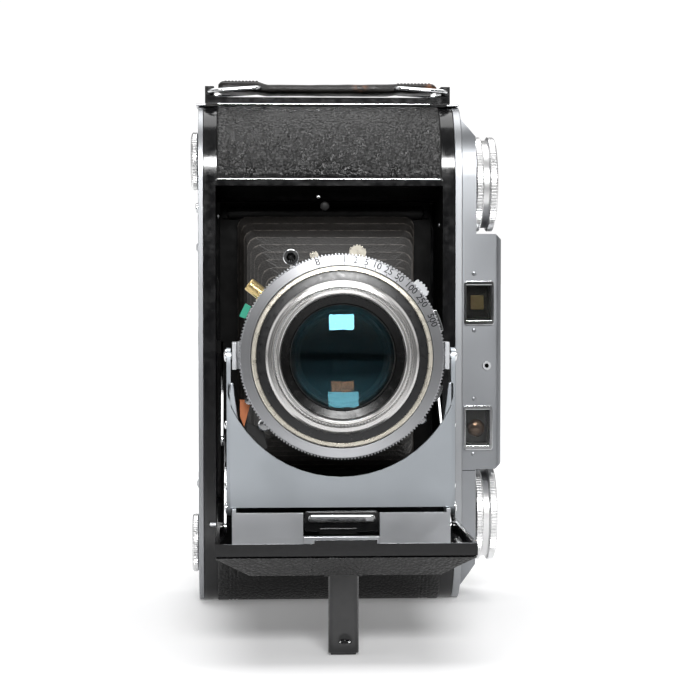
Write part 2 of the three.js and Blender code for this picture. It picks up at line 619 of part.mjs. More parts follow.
function doorPan() {
  const outer = doorForm(2.4, DOOR_FACE, DOOR_RIM, DOOR_HALF, DOOR_BEVEL_TOP, DOOR_BEVEL, DOOR_LENGTH);
  const inner = doorForm(
    3.6,
    DOOR_FACE + DOOR_FLOOR,
    DOOR_RIM + 1,
    DOOR_HALF - DOOR_SKIN,
    DOOR_BEVEL_TOP + 0.3,
    DOOR_BEVEL,
    DOOR_LENGTH - DOOR_SKIN,
  );
  let pan = outer.subtract(inner);
  // Rear wall lowered so that the focusing link and bellows clear it.
  pan = pan.subtract(box(-30, 30, -4.5, 0, 1.4, 20));
  pan = pan.add(box(-9, 8.6, -DOOR_LENGTH, -DOOR_LENGTH + DOOR_SKIN, DOOR_RIM - 0.5, DOOR_RIM + 1));
  // Hinge knuckles, bored for the pin.
  for (const [x0, x1] of [[-36.4, -24], [-8, 8], [24, 36.4]]) {
    pan = pan.add(bar("x", x0, x1, 1.4, [0, 0], 16));
    pan = pan.add(box(x0, x1, -3.8, 0, -1.4, 0.2));
  }
  pan = pan.subtract(bar("x", -60, 60, 0.85, [0, 0], 12));
  // Ears that hold the foot, and the rim pivots of the lower brace links.
  const footY = FOOT_HINGE.y - HINGE_Y;
  const footZ = FOOT_HINGE.z - HINGE_Z;
  pan = pan.add(pairOfBoxes(4.2, 5.4, footY - 1.4, footY + 1.4, footZ - 1.2, DOOR_FACE + 0.4));
  pan = pan.subtract(bar("x", -10, 10, 0.8, [footY, footZ], 12));
  const braceY = BRACE_DOOR.y - HINGE_Y;
  const braceZ = BRACE_DOOR.z - HINGE_Z;
  pan = pan.add(bar("x", 34.9, DOOR_HALF - 0.5, 1.6, [braceY, braceZ], 12));
  pan = pan.add(bar("x", -DOOR_HALF + 0.5, -34.9, 1.6, [braceY, braceZ], 12));
  return pan;
}

function doorLeather() {
  const grow = 0.65;
  const skin = doorForm(
    5,
    DOOR_FACE - grow - SEAM,
    DOOR_RIM,
    DOOR_HALF + grow + SEAM,
    DOOR_BEVEL_TOP,
    DOOR_BEVEL,
    DOOR_LENGTH + grow + SEAM,
  ).intersect(box(-60, 60, -200, 0, -10, DOOR_BEVEL_TOP - 0.5));
  const core = doorForm(
    2,
    DOOR_FACE - SEAM,
    DOOR_RIM,
    DOOR_HALF + SEAM,
    DOOR_BEVEL_TOP,
    DOOR_BEVEL,
    DOOR_LENGTH + SEAM,
  );
  const footY = FOOT_HINGE.y - HINGE_Y;
  return skin.subtract(core).subtract(box(-6.4, 6.4, footY - 2.4, footY + 26, -10, 0));
}

const FOOT_HALF = 3.7;

// The folding foot, in a group at its hinge.
function foot() {
  const low = -FOOT_HINGE.z;
  const blade = box(-FOOT_HALF, FOOT_HALF, -1.3, -0.3, low + 0.6, 0.9);
  const flanges = pairOfBoxes(FOOT_HALF - 0.8, FOOT_HALF, -0.4, 1.1, low + 4, 0.9);
  const pad = box(-FOOT_HALF, FOOT_HALF, -1.3, 1.3, low, low + 1);
  return blade.add(flanges).add(pad).add(bar("x", -5.2, 5.2, 0.6, [0, 0], 12));
}

function carriage() {
  const y = LENS_Y - HINGE_Y;
  const base = box(-31, 31, y - 4.2, y + 15, 2.6, 3.8);
  const runners = pairOfBoxes(19, 22, y - 3, y + 14, DOOR_FACE + DOOR_FLOOR + GAP, 2.7);
  const frontWall = box(-32, 32, y - 4.2, y - 3, 3.7, 12.8).subtract(box(-11.2, 11.2, y - 5, y, 3, 20));
  const pivotZ = BASE_PIVOT_Z - HINGE_Z;
  // The ears stop just below the pivots, so that the bracket's web can turn over them.
  const ears = pairOfBoxes(30.8, 32, y - 4.2, y + 3.5, 3.7, pivotZ - 0.1);
  const pivots = bar("x", 30.8, 33.9, PIVOT_RADIUS, [y, pivotZ], 12)
    .add(bar("x", -33.9, -30.8, PIVOT_RADIUS, [y, pivotZ], 12));
  return base.add(runners).add(frontWall).add(ears).add(pivots);
}

function collapseBar() {
  const y = LENS_Y - HINGE_Y;
  return box(-10.8, 10.8, y - 6.4, y - 1.6, 7.4, 13.4).subtract(box(-9.6, 9.6, y - 5.2, y, 6, 12.2));
}

function uBracket() {
  const y = LENS_Y;
  const cut = 35.5; // radius of the round opening that clears the lens
  const sheet = rounded(-BRACKET_HALF, BRACKET_HALF, BASE_PIVOT_Z + 0.2, LENS_Z + 1, [1.5, 1.5, 0, 0]);
  const web = alongY(sheet, y - 2.2, y - 1, 3).subtract(bar("y", -200, 0, cut, [0, LENS_Z], 56));
  const outline = new THREE.Shape();
  outline.moveTo(y - 2.2, BASE_PIVOT_Z);
  outline.absarc(y, BASE_PIVOT_Z, 2.2, Math.PI, 2 * Math.PI, false);
  outline.lineTo(y + 5, BASE_PIVOT_Z + 6);
  outline.lineTo(y + 5, 64);
  outline.lineTo(y + 2.4, LENS_Z);
  outline.absarc(y, LENS_Z, 2.4, 0, Math.PI, false);
  outline.lineTo(y - 2.2, LENS_Z - 3);
  const flanges = alongX(outline, BRACKET_HALF - BRACKET_SHEET, BRACKET_HALF, 4)
    .add(alongX(outline, -BRACKET_HALF, -BRACKET_HALF + BRACKET_SHEET, 4));
  return web
    .add(flanges)
    .subtract(bar("x", -40, 40, PIVOT_RADIUS + GAP, [y, BASE_PIVOT_Z], 16))
    .subtract(bar("x", -40, 40, 1.35, [y, LENS_Z], 16));
}

// A straight link with round ends in the (y, z) plane, between two points.
function link(from, to, x0, x1) {
  const length = Math.hypot(to.y - from.y, to.z - from.z);
  const angle = Math.atan2(to.z - from.z, to.y - from.y);
  const half = BRACE_WIDTH / 2;
  const s = new THREE.Shape();
  s.moveTo(0, -half);
  s.lineTo(length, -half);
  s.absarc(length, 0, half, -Math.PI / 2, Math.PI / 2, false);
  s.lineTo(0, half);
  s.absarc(0, 0, half, Math.PI / 2, 1.5 * Math.PI, false);
  const g = new THREE.ExtrudeGeometry(s, { depth: x1 - x0, bevelEnabled: false, curveSegments: 5 });
  const basis = new THREE.Matrix4().makeBasis(
    new THREE.Vector3(0, 1, 0),
    new THREE.Vector3(0, 0, 1),
    new THREE.Vector3(1, 0, 0),
  );
  return solid(g.rotateZ(angle).applyMatrix4(basis).translate(x0, from.y, from.z));
}

// The knee of the open brace: the point at one link's length from both pivots, on the hinge's side.
function braceKnee() {
  const dy = BRACE_DOOR.y - BRACE_WALL.y;
  const dz = BRACE_DOOR.z - BRACE_WALL.z;
  const span = Math.hypot(dy, dz);
  const rise = Math.sqrt(BRACE_LENGTH ** 2 - (span / 2) ** 2);
  const middle = { y: BRACE_WALL.y + dy / 2, z: BRACE_WALL.z + dz / 2 };
  return { y: middle.y - (dz / span) * rise, z: middle.z + (dy / span) * rise };
}

function buildBraces() {
  const knee = braceKnee();
  const upperX = 34.8; // inner faces of the links
  const lowerX = 33.7;
  for (const [name, side] of [["left", -1], ["right", 1]]) {
    const span = (x) => (side > 0 ? [x, x + BRACE_SHEET] : [-x - BRACE_SHEET, -x]);
    // A rivet head on a link's outer face.
    const rivet = (x, at, radius) => {
      const ends = [side * (x + 0.6), side * (x + 0.85)].sort((a, b) => a - b);
      return bar("x", ends[0], ends[1], radius, [at.y, at.z], 12);
    };
    const upper = link(BRACE_WALL, knee, ...span(upperX)).add(rivet(upperX, BRACE_WALL, 1.6));
    const lower = link(knee, BRACE_DOOR, ...span(lowerX)).add(rivet(lowerX, BRACE_DOOR, 1.3));
    place(camera, "brace_upper_" + name, upper, chrome());
    place(camera, "brace_lower_" + name, lower, chrome());
  }
}

// ---------- lens unit, in a group on its tilt axis ----------
function lensBoard() {
  const front = 3.7;
  const back = 6;
  const bore = bar("y", 0, 10, 13.8, [0, 0], 32);
  const disc = turned([[0, front], [26.8, front], [26.8, back], [0, back]]).subtract(bore);
  const ears = pairOfBoxes(24, 31.9, front, back, -4, 4).add(pairOfBoxes(30.5, 31.9, -1.8, back, -4, 4));
  const pins = bar("x", 31.8, 33.6, 1.05, [0, 0], 12).add(bar("x", -33.6, -31.8, 1.05, [0, 0], 12));
  return disc.add(ears.subtract(bore)).add(pins);
}

// A sector of a ring about the lens axis: middle angle from +X towards +Z, half spread in degrees.
function sector(inner, outer, y0, y1, middle, spread) {
  const a0 = THREE.MathUtils.degToRad(middle - spread);
  const a1 = THREE.MathUtils.degToRad(middle + spread);
  const s = new THREE.Shape();
  s.moveTo(inner * Math.cos(a0), inner * Math.sin(a0));
  s.absarc(0, 0, outer, a0, a1, false);
  s.absarc(0, 0, inner, a1, a0, true);
  return alongY(s, y0, y1, 6);
}

const APERTURE_AT = 81;
const COCKING_AT = 40;
const RELEASE_AT = -21;
const SYNC_AT = 155;
const LEVERS = [
  { name: "cocking_lever", at: COCKING_AT, travel: -24, y0: -1.0, y1: 0.2, outer: 32.4 },
  { name: "release_lever", at: RELEASE_AT, travel: -14, y0: 1.2, y1: 2.4, outer: 32 },
  { name: "sync_lever", at: SYNC_AT, travel: 11, y0: 1.2, y1: 2.4, outer: 32 },
];

function shutterCase() {
  let body = ring(15.2, CASE_RADIUS, -3.1, 3.4);
  for (const lever of LEVERS) {
    const middle = lever.at + lever.travel / 2;
    const spread = Math.abs(lever.travel) / 2 + 6;
    body = body.subtract(sector(22.5, CASE_RADIUS + 2, lever.y0 - GAP, lever.y1 + GAP, middle, spread));
  }
  return body;
}

function lensBarrel() {
  return turned([
    [15.4, -3.6],
    [15.4, -12.2],
    [18.2, -12.2],
    [18.2, -14],
    [20, -14],
    [20, -11.2],
    [22.4, -10.6],
    [22.4, -9.6],
    [25.6, -9.2],
    [26.1, -8.6],
    [26.1, -3.6],
    [15.4, -3.6],
  ], 40);
}

function frontGlass() {
  return turned([[0, -12.6], [6, -12.3], [11, -11.4], [15.2, -10], [15.2, -6], [0, -6]], 40);
}

function rearCell() {
  return ring(10.4, 13.4, 4, 12, 36);
}

function rearGlass() {
  return turned([[0, 8], [10.2, 8], [10.2, 10.6], [5, 11.3], [0, 11.5]], 32);
}

function radialBar(angle, from, to, radius, y, segments = 12) {
  const a = THREE.MathUtils.degToRad(angle);
  const g = new THREE.CylinderGeometry(radius, radius, to - from, segments);
  g.translate(0, (from + to) / 2, 0).rotateZ(-Math.PI / 2).rotateY(-a);
  return solid(g.translate(0, y, 0));
}

function cableSocket() {
  const degrees = 117;
  const reach = 32.4;
  const a = THREE.MathUtils.degToRad(degrees);
  const at = [reach * Math.cos(a), reach * Math.sin(a)];
  return bar("y", -4.4, 1.6, 2.4, at, 20)
    .add(radialBar(degrees, CASE_RADIUS + GAP, reach - 0.4, 1.3, 0))
    .subtract(bar("y", -6, 0.6, 1.2, at, 16));
}

function buildLensUnit() {
  const unit = group(camera, 0, LENS_Y, LENS_Z);
  place(unit, "lens_board", lensBoard(), satin());
  place(unit, "shutter_case", shutterCase(), blackPaint());
  place(unit, "lens_barrel", lensBarrel(), satin());
  place(unit, "front_glass", frontGlass(), clearGlass());
  place(unit, "rear_cell", rearCell(), blackPaint());
  place(unit, "rear_glass", rearGlass(), clearGlass());
  place(unit, "sync_socket", radialBar(142, CASE_RADIUS + GAP, 34.4, 2, 1, 16), brass());
  place(unit, "cable_socket", cableSocket(), chrome());
  place(unit, "speed_ring", ring(26.5, RING_RADIUS, -8.2, -3.6, 60), satin());
  const apertureRing = ring(CASE_RADIUS + 0.2, 28.4, -2.9, -1.9).add(
    sector(28, 32.8, -2.9, -1.9, APERTURE_AT, 5.4),
  );
  place(unit, "aperture_ring", apertureRing, satin());
  for (const lever of LEVERS) {
    const tab = sector(23, lever.outer, lever.y0, lever.y1, lever.at, 5);
    place(unit, lever.name, tab, lever.name === "sync_lever" ? greenPlastic() : satin());
  }
}

function buildFrontDoor() {
  const door = group(camera, 0, HINGE_Y, HINGE_Z);
  place(door, "door_pan", doorPan(), enamel());
  place(door, "door_leather", doorLeather(), leather());
  place(door, "carriage", carriage(), satin());
  place(door, "collapse_bar", collapseBar(), chrome());
  place(group(camera, 0, FOOT_HINGE.y, FOOT_HINGE.z), "foot", foot(), enamel());
  place(camera, "u_bracket", uBracket(), satin());
  buildBraces();
}

buildBody();
buildBackDoor();
buildFrontDoor();
buildLensUnit();

export default camera;
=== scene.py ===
"""The looks of a self-erecting folding camera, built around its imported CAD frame.

Lengths inside the builders are millimetres in the row frame; meshes are scaled to metres when they are made.
"""

import math

import bmesh
import bpy
from mathutils import Euler, Matrix, Vector, noise


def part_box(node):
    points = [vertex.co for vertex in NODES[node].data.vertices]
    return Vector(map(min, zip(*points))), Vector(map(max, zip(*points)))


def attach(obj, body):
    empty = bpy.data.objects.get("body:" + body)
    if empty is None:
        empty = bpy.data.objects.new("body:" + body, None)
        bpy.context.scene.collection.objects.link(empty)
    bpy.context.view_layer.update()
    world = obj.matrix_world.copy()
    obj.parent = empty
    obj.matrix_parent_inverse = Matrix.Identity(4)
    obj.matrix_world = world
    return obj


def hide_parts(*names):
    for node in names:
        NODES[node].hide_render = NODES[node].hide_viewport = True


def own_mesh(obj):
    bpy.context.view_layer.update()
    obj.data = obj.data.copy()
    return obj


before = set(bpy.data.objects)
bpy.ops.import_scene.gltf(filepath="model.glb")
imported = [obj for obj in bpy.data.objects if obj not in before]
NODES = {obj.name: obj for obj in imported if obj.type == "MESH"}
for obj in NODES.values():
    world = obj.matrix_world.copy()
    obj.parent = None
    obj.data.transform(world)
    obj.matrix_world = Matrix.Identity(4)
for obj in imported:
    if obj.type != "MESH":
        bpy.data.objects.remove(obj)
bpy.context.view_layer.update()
MM = 0.001

# ---------- places read from the frame, in millimetres ----------


def limits(node):
    low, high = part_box(node)
    return low / MM, high / MM


def middle(node):
    low, high = limits(node)
    return (low + high) / 2


LENS = Vector((0, -97, middle("speed_ring").z))
BODY_LOW, BODY_HIGH = limits("body_casting")
HOUSING_LOW = limits("top_housing")[0]
WIND = middle("wind_knob")
FOCUS = middle("focus_knob")


# ---------- material helpers ----------
class Look:
    """A procedural material around one Principled BSDF."""

    def __init__(self, name, color, roughness, metallic=0.0, **sockets):
        self.material = bpy.data.materials.new(name)
        self.material.use_nodes = True
        self.tree = self.material.node_tree
        self.shader = self.tree.nodes["Principled BSDF"]
        self.set("Base Color", (*color, 1))
        self.set("Roughness", roughness)
        self.set("Metallic", metallic)
        for label, value in sockets.items():
            self.set(label.replace("_", " "), value)

    def set(self, label, value):
        self.shader.inputs[label].default_value = value

    def node(self, kind, **inputs):
        made = self.tree.nodes.new(kind)
        for label, value in inputs.items():
            made.inputs[label.replace("_", " ")].default_value = value
        return made

    def link(self, source, target):
        self.tree.links.new(source, target)

    def place(self, stretch=(1, 1, 1)):
        """Object coordinates, stretched per axis."""
        mapping = self.node("ShaderNodeMapping", Scale=stretch)
        coordinates = self.tree.nodes.new("ShaderNodeTexCoord")
        self.link(coordinates.outputs["Object"], mapping.inputs["Vector"])
        return mapping.outputs["Vector"]

    def noise(self, scale, detail=3.0, stretch=(1, 1, 1), roughness=0.5):
        made = self.node("ShaderNodeTexNoise", Scale=scale, Detail=detail, Roughness=roughness)
        self.link(self.place(stretch), made.inputs["Vector"])
        return made.outputs["Fac"]

    def cells(self, scale, feature="F1", smooth=0.0):
        made = self.node("ShaderNodeTexVoronoi", Scale=scale)
        made.feature = feature
        if feature == "SMOOTH_F1":
            made.inputs["Smoothness"].default_value = smooth
        self.link(self.place(), made.inputs["Vector"])
        return made.outputs["Distance"]

    def ramp(self, value, low, high, to_low=0.0, to_high=1.0):
        made = self.node("ShaderNodeMapRange")
        for label, number in (
            ("From Min", low),
            ("From Max", high),
            ("To Min", to_low),
            ("To Max", to_high),
        ):
            made.inputs[label].default_value = number
        self.link(value, made.inputs["Value"])
        return made.outputs["Result"]

    def math(self, kind, first, second):
        made = self.tree.nodes.new("ShaderNodeMath")
        made.operation = kind
        for socket, value in zip(made.inputs, (first, second)):
            if isinstance(value, (int, float)):
                socket.default_value = value
            else:
                self.link(value, socket)
        return made.outputs["Value"]

    def tint(self, factor, low, high):
        """Base colour that runs from low to high with factor."""
        mix = self.tree.nodes.new("ShaderNodeMix")
        mix.data_type = "RGBA"
        mix.inputs[6].default_value = (*low, 1)
        mix.inputs[7].default_value = (*high, 1)
        self.link(factor, mix.inputs[0])
        self.link(mix.outputs[2], self.shader.inputs["Base Color"])

    def rough(self, value, low, high, to_low, to_high):
        self.link(self.ramp(value, low, high, to_low, to_high), self.shader.inputs["Roughness"])

    def bump(self, height, distance_mm, strength=1.0):
        made = self.node("ShaderNodeBump", Strength=strength, Distance=distance_mm * MM)
        self.link(height, made.inputs["Height"])
        previous = self.shader.inputs["Normal"]
        if previous.is_linked:
            self.link(previous.links[0].from_socket, made.inputs["Normal"])
        self.link(made.outputs["Normal"], previous)


def satin_metal(name, color=(0.50, 0.51, 0.525), roughness=0.38):
    """Fine-grained satin chrome, with faint clouding from handling."""
    look = Look(name, color, roughness, 1.0)
    cloud = look.noise(34, 5)
    look.tint(look.ramp(cloud, 0.3, 0.7), [c * 0.97 for c in color], [min(1, c * 1.03) for c in color])
    look.rough(look.noise(45, 6), 0.3, 0.7, roughness - 0.03, roughness + 0.04)
    look.bump(look.noise(5200, 2), 0.004, 0.5)
    return look.material


def bright_metal(name, color=(0.74, 0.75, 0.76), roughness=0.09):
    look = Look(name, color, roughness, 1.0)
    look.rough(look.noise(240, 4), 0.35, 0.7, roughness - 0.03, roughness + 0.08)
    look.bump(look.noise(900, 3), 0.006, 0.4)
    return look.material


def turned_metal(name, centre, color, roughness):
    """Metal with fine circular tool marks about the line through centre along Y."""
    look = Look(name, color, roughness, 1.0)
    shift = look.node("ShaderNodeVectorMath")
    shift.operation = "SUBTRACT"
    shift.inputs[1].default_value = centre * MM
    look.link(look.place(), shift.inputs[0])
    flat = look.node("ShaderNodeVectorMath")
    flat.operation = "MULTIPLY"
    flat.inputs[1].default_value = (1, 0, 1)
    look.link(shift.outputs[0], flat.inputs[0])
    length = look.node("ShaderNodeVectorMath")
    length.operation = "LENGTH"
    look.link(flat.outputs[0], length.inputs[0])
    rings = look.node("ShaderNodeTexNoise", Scale=1.0, Detail=4.0)
    rings.noise_dimensions = "1D"
    look.link(look.math("MULTIPLY", length.outputs["Value"], 5200), rings.inputs["W"])
    look.rough(rings.outputs["Fac"], 0.3, 0.7, roughness - 0.05, roughness + 0.09)
    look.bump(rings.outputs["Fac"], 0.01, 0.6)
    around = look.tree.nodes.new("ShaderNodeTangent")
    around.direction_type = "RADIAL"
    around.axis = "Y"
    look.link(around.outputs["Tangent"], look.shader.inputs["Tangent"])
    look.set("Anisotropic", 0.6)
    look.set("Anisotropic Rotation", 0.25)
    return look.material


def enamel(name, roughness=0.14, coat=0.25):
    look = Look(name, (0.0045, 0.0045, 0.005), roughness, Coat_Weight=coat, Coat_Roughness=0.06)
    look.rough(look.noise(420, 5), 0.35, 0.75, roughness - 0.03, roughness + 0.12)
    look.bump(look.noise(260, 2), 0.03, 0.25)
    specks = look.ramp(look.cells(1500), 0.0, 0.06, 1, 0)
    look.tint(look.math("MULTIPLY", specks, look.noise(90, 2)), (0.0045, 0.0045, 0.005), (0.05, 0.05, 0.05))
    return look.material


def matt_black(name, color=(0.006, 0.006, 0.006), roughness=0.55, shine=0.3):
    look = Look(name, color, roughness, Specular_IOR_Level=shine)
    look.rough(look.noise(300, 4), 0.3, 0.7, roughness - 0.08, roughness + 0.12)
    look.bump(look.noise(3200, 2), 0.02, 0.5)
    look.tint(look.noise(120, 4), color, [c * 2.2 for c in color])
    return look.material


def pressed_leather(name, cell=1.0, depth=0.32, color=(0.007, 0.0068, 0.0066), roughness=0.27):
    """Pebbled leather; cell is the size of a pebble in millimetres."""
    look = Look(name, color, roughness, Specular_IOR_Level=0.55)
    pebble = look.cells(1000 / cell, "SMOOTH_F1", smooth=0.25)
    fine = look.cells(2600 / cell)
    height = look.math("ADD", look.math("MULTIPLY", pebble, -1.0), look.math("MULTIPLY", fine, -0.22))
    look.bump(height, depth, 0.9)
    look.bump(look.noise(5200, 2), 0.02, 0.5)
    # Darker in the creases between the pebbles, painted shade, and a little lighter on the pebble tops.
    look.tint(look.ramp(pebble, 0.15, 0.6, 0, 1), [c * 1.5 for c in color], [c * 0.35 for c in color])
    look.rough(look.noise(200, 3), 0.3, 0.7, roughness - 0.04, roughness + 0.14)
    return look.material


PLEATS = 9
RIDGE_FROM, RIDGE_TO = 0.455, 0.495  # half a pleat is 0.5; the scuffs lie on its ridge


def bellows_leather(name):
    """Thin leather, scuffed pale along the ridges of the pleats."""
    look = Look(name, (0.016, 0.013, 0.011), 0.42, Specular_IOR_Level=0.5)
    grain = look.cells(1500, "SMOOTH_F1", smooth=0.4)
    look.bump(look.math("MULTIPLY", grain, -1.0), 0.12, 0.7)
    depth = look.tree.nodes.new("ShaderNodeSeparateXYZ")
    look.link(look.place(), depth.inputs[0])
    low, high = limits("bellows")
    pleat = (high.y - low.y) * MM / PLEATS
    along = look.math("SUBTRACT", high.y * MM, depth.outputs["Y"])
    phase = look.math("FRACT", look.math("DIVIDE", along, pleat), 0)
    off_middle = look.math("ABSOLUTE", look.math("SUBTRACT", phase, 0.5), 0)
    ridge = look.ramp(off_middle, RIDGE_FROM, RIDGE_TO)
    scuffed = look.math("MULTIPLY", ridge, look.ramp(look.noise(420, 5), 0.36, 0.62))
    look.tint(scuffed, (0.0125, 0.011, 0.0098), (0.16, 0.145, 0.13))
    look.rough(look.noise(500, 3), 0.3, 0.7, 0.34, 0.55)
    return look.material


def strap_leather(name):
    look = Look(name, (0.014, 0.011, 0.0095), 0.38)
    patchy = look.ramp(look.noise(420, 5, roughness=0.6), 0.42, 0.56)
    worn = 0.0
    for spot, radius in (((0.0108, -0.007, 0.1728), 0.0034), ((0.0352, -0.006, 0.1722), 0.0042)):
        away = look.node("ShaderNodeVectorMath")
        away.operation = "DISTANCE"
        away.inputs[1].default_value = spot
        look.link(look.place(), away.inputs[0])
        worn = look.math("ADD", look.ramp(away.outputs["Value"], radius * 0.35, radius, 1, 0), worn)
    look.tint(look.math("MULTIPLY", worn, patchy), (0.0105, 0.009, 0.008), (0.17, 0.066, 0.026))
    grain = look.cells(1900, "SMOOTH_F1", smooth=0.3)
    look.bump(look.math("MULTIPLY", grain, -1.0), 0.14, 0.6)
    look.bump(look.noise(220, 4, (0.4, 1.6, 1)), 0.22, 0.5)
    look.rough(look.noise(260, 4), 0.3, 0.7, 0.3, 0.55)
    return look.material


def plain(name, color, roughness, metallic=0.0, grain=0.01, **sockets):
    """A lightly uneven paint, plastic or metal."""
    look = Look(name, color, roughness, metallic, **sockets)
    look.rough(look.noise(600, 3), 0.3, 0.7, max(0.02, roughness - 0.05), roughness + 0.08)
    look.tint(look.noise(240, 3), [c * 0.88 for c in color], [min(1, c * 1.12) for c in color])
    look.bump(look.noise(2400, 2), grain, 0.4)
    return look.material


def glass(name, color, tint=(1, 1, 1), ior=1.52, see_through=1.0, roughness=0.0):
    look = Look(name, color, roughness, IOR=ior, Transmission_Weight=see_through, Specular_Tint=(*tint, 1))
    return look.material


SATIN = satin_metal("satin_metal")
SATIN_PLATE = satin_metal("satin_plate", (0.56, 0.575, 0.60), 0.36)
# The housing's and the end plates' metal is the satin plate metal darkened: painted shade, not a finish of
# their own.
SHADED_HOUSING_METAL = satin_metal("housing_metal_painted_shade", (0.29, 0.30, 0.315), 0.36)
SHADED_END_METAL = satin_metal("end_metal_painted_shade", (0.36, 0.37, 0.385), 0.38)
SATIN_BRACKET = satin_metal("satin_bracket", (0.43, 0.46, 0.49), 0.36)
KNOB_METAL = satin_metal("knob_metal", (0.80, 0.80, 0.80), 0.32)
CHROME = bright_metal("chrome_metal")
RING_SATIN = turned_metal("ring_satin", LENS, (0.40, 0.405, 0.42), 0.34)
RING_BRIGHT = turned_metal("ring_bright", LENS, (0.66, 0.65, 0.64), 0.26)
ENAMEL = enamel("black_enamel")
MATT = matt_black("black_paint")
# A darker, duller copy of the matt black for hollows, the film gate and the lens tunnel: their real black
# finish with painted shade on top.
HOLLOW_BLACK_AND_SHADE = matt_black("hollow_black_and_painted_shade", (0.002, 0.002, 0.002), 0.6, 0.1)
LEATHER = pressed_leather("black_leather", 0.95, 0.4)
DOOR_LEATHER = pressed_leather("door_leather_grain", 1.0, 0.34)
BELLOWS = bellows_leather("bellows_leather")
STRAP = strap_leather("strap_leather")
BRASS = plain("brass_metal", (0.60, 0.46, 0.22), 0.28, 1.0)
CREAM = plain("cream_ring", (0.66, 0.62, 0.53), 0.28, 0.75)
CHARCOAL = plain("charcoal_ring", (0.009, 0.009, 0.0095), 0.3, grain=0.004)
NAME_BLACK = plain("name_ring_black", (0.003, 0.003, 0.003), 0.22, grain=0.002, Specular_IOR_Level=0.3)
INK = plain("black_ink", (0.004, 0.004, 0.004), 0.5, Specular_IOR_Level=0.0)
GREEN = plain("green_tip", (0.012, 0.30, 0.19), 0.4)
ORANGE = plain("orange_paint", (0.38, 0.11, 0.03), 0.45)
COATED = glass("lens_glass", (0.64, 0.64, 0.62), (0.2, 0.6, 0.78), 1.56)
INNER_GLASS = glass("inner_lens_glass", (0.5, 0.5, 0.5), (0.6, 0.35, 0.2), 1.4)
CLEAR = glass("window_glass", (0.93, 0.95, 0.93), (1, 1, 1), 1.5)
RED = glass("red_glass", (0.32, 0.008, 0.004), (1, 1, 1), 1.5, 0.7, 0.03)


# ---------- mesh helpers ----------
def shade(mesh, angle=32):
    for attribute in [a.name for a in mesh.attributes if a.name == "custom_normal"]:
        mesh.attributes.remove(mesh.attributes[attribute])
    mesh.polygons.foreach_set("use_smooth", [True] * len(mesh.polygons))
    mesh.set_sharp_from_angle(angle=math.radians(angle))


def put(name, mesh, look, body, replaces=(), angle=32):
    """Makes an object of a mesh, in metres, that rides on a CAD body."""
    mesh.materials.clear()
    mesh.materials.append(look)
    made = bpy.data.objects.new(name, mesh)
    bpy.context.scene.collection.objects.link(made)
    shade(mesh, angle)
    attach(made, body)
    if replaces:
        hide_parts(*replaces)
    return made


def finished(name, bm):
    """The mesh of a bmesh in millimetres, scaled to metres."""
    mesh = bpy.data.meshes.new(name)
    bm.to_mesh(mesh)
    bm.free()
    mesh.transform(Matrix.Scale(MM, 4))
    return mesh


def piece(name, bm, look, body, replaces=(), slot=None, bevel=0.0, angle=32, segments=2):
    """Turns a bmesh in millimetres into an object that rides on a CAD body."""
    bmesh.ops.recalc_face_normals(bm, faces=bm.faces)
    made = put(name, finished(name, bm), look, body, replaces, angle)
    if bevel:
        soften(made, bevel, segments)
    return made


def soften(made, width, segments=2, angle=34):
    """Rounds the sharp edges of an object with a modifier."""
    edge = made.modifiers.new("edges", "BEVEL")
    edge.width = width * MM
    edge.segments = segments
    edge.limit_method = "ANGLE"
    edge.angle_limit = math.radians(angle)
    edge.harden_normals = True
    edge.use_clamp_overlap = True


def dress(node, look, bevel=0.0):
    """Gives a CAD node that stays its material and, where asked, softly rounded edges."""
    made = NODES[node]
    made.data.materials.clear()
    made.data.materials.append(look)
    for polygon in made.data.polygons:
        polygon.material_index = 0
    for attribute in [a.name for a in made.data.attributes if a.name == "custom_normal"]:
        made.data.attributes.remove(made.data.attributes[attribute])
    made.data.polygons.foreach_set("use_smooth", [bevel > 0] * len(made.data.polygons))
    weld = made.modifiers.new("weld", "WELD")
    weld.merge_threshold = 1e-6
    merge = made.modifiers.new("merge", "DECIMATE")
    merge.decimate_type = "DISSOLVE"
    merge.angle_limit = math.radians(0.6)
    if bevel:
        soften(made, bevel)
    return made


def dress_all(*rows):
    """Each row holds a look, a width of the rounded edges and the nodes that share them."""
    for look, bevel, *nodes in rows:
        for node in nodes:
            dress(node, look, bevel)


def box(bm, x0, x1, y0, y1, z0, z1):
    corners = [bm.verts.new((x, y, z)) for x in (x0, x1) for y in (y0, y1) for z in (z0, z1)]
    for face in ((0, 1, 3, 2), (4, 6, 7, 5), (0, 4, 5, 1), (2, 3, 7, 6), (0, 2, 6, 4), (1, 5, 7, 3)):
        bm.faces.new([corners[i] for i in face])


def lathe(bm, profile, centre, axis="y", segments=96, teeth=0, depth=0.0):
    """Turns a closed profile of (radius, along[, knurled]) points about the axis through centre."""
    count = teeth * 4 if teeth else segments
    rings = []
    for step in range(count):
        a = 2 * math.pi * step / count
        column = []
        for point in profile:
            radius = point[0]
            if teeth and len(point) > 2 and step % 4 in (0, 3):
                radius -= depth
            across = (radius * math.cos(a), radius * math.sin(a))
            if axis == "y":
                where = (centre[0] + across[0], centre[1] + point[1], centre[2] + across[1])
            elif axis == "x":
                where = (centre[0] + point[1], centre[1] + across[0], centre[2] + across[1])
            else:
                where = (centre[0] + across[0], centre[1] + across[1], centre[2] + point[1])
            column.append(bm.verts.new(where))
        rings.append(column)
    skin(bm, [*rings, rings[0]])
    bmesh.ops.remove_doubles(bm, verts=[v for ring in rings for v in ring], dist=1e-5)


def dome(bm, centre, radius, height, axis="y", sign=-1, segments=24, rim=0.0):
    """A closed rounded head that rises from centre along the axis."""
    profile = [(0, 0), (radius, 0)]
    if rim:
        profile.append((radius, sign * rim))
    for step in range(1, 5):
        a = math.pi / 2 * step / 5
        profile.append((radius * math.cos(a), sign * (rim + (height - rim) * math.sin(a))))
    profile.append((0, sign * height))
    lathe(bm, profile, centre, axis, segments)


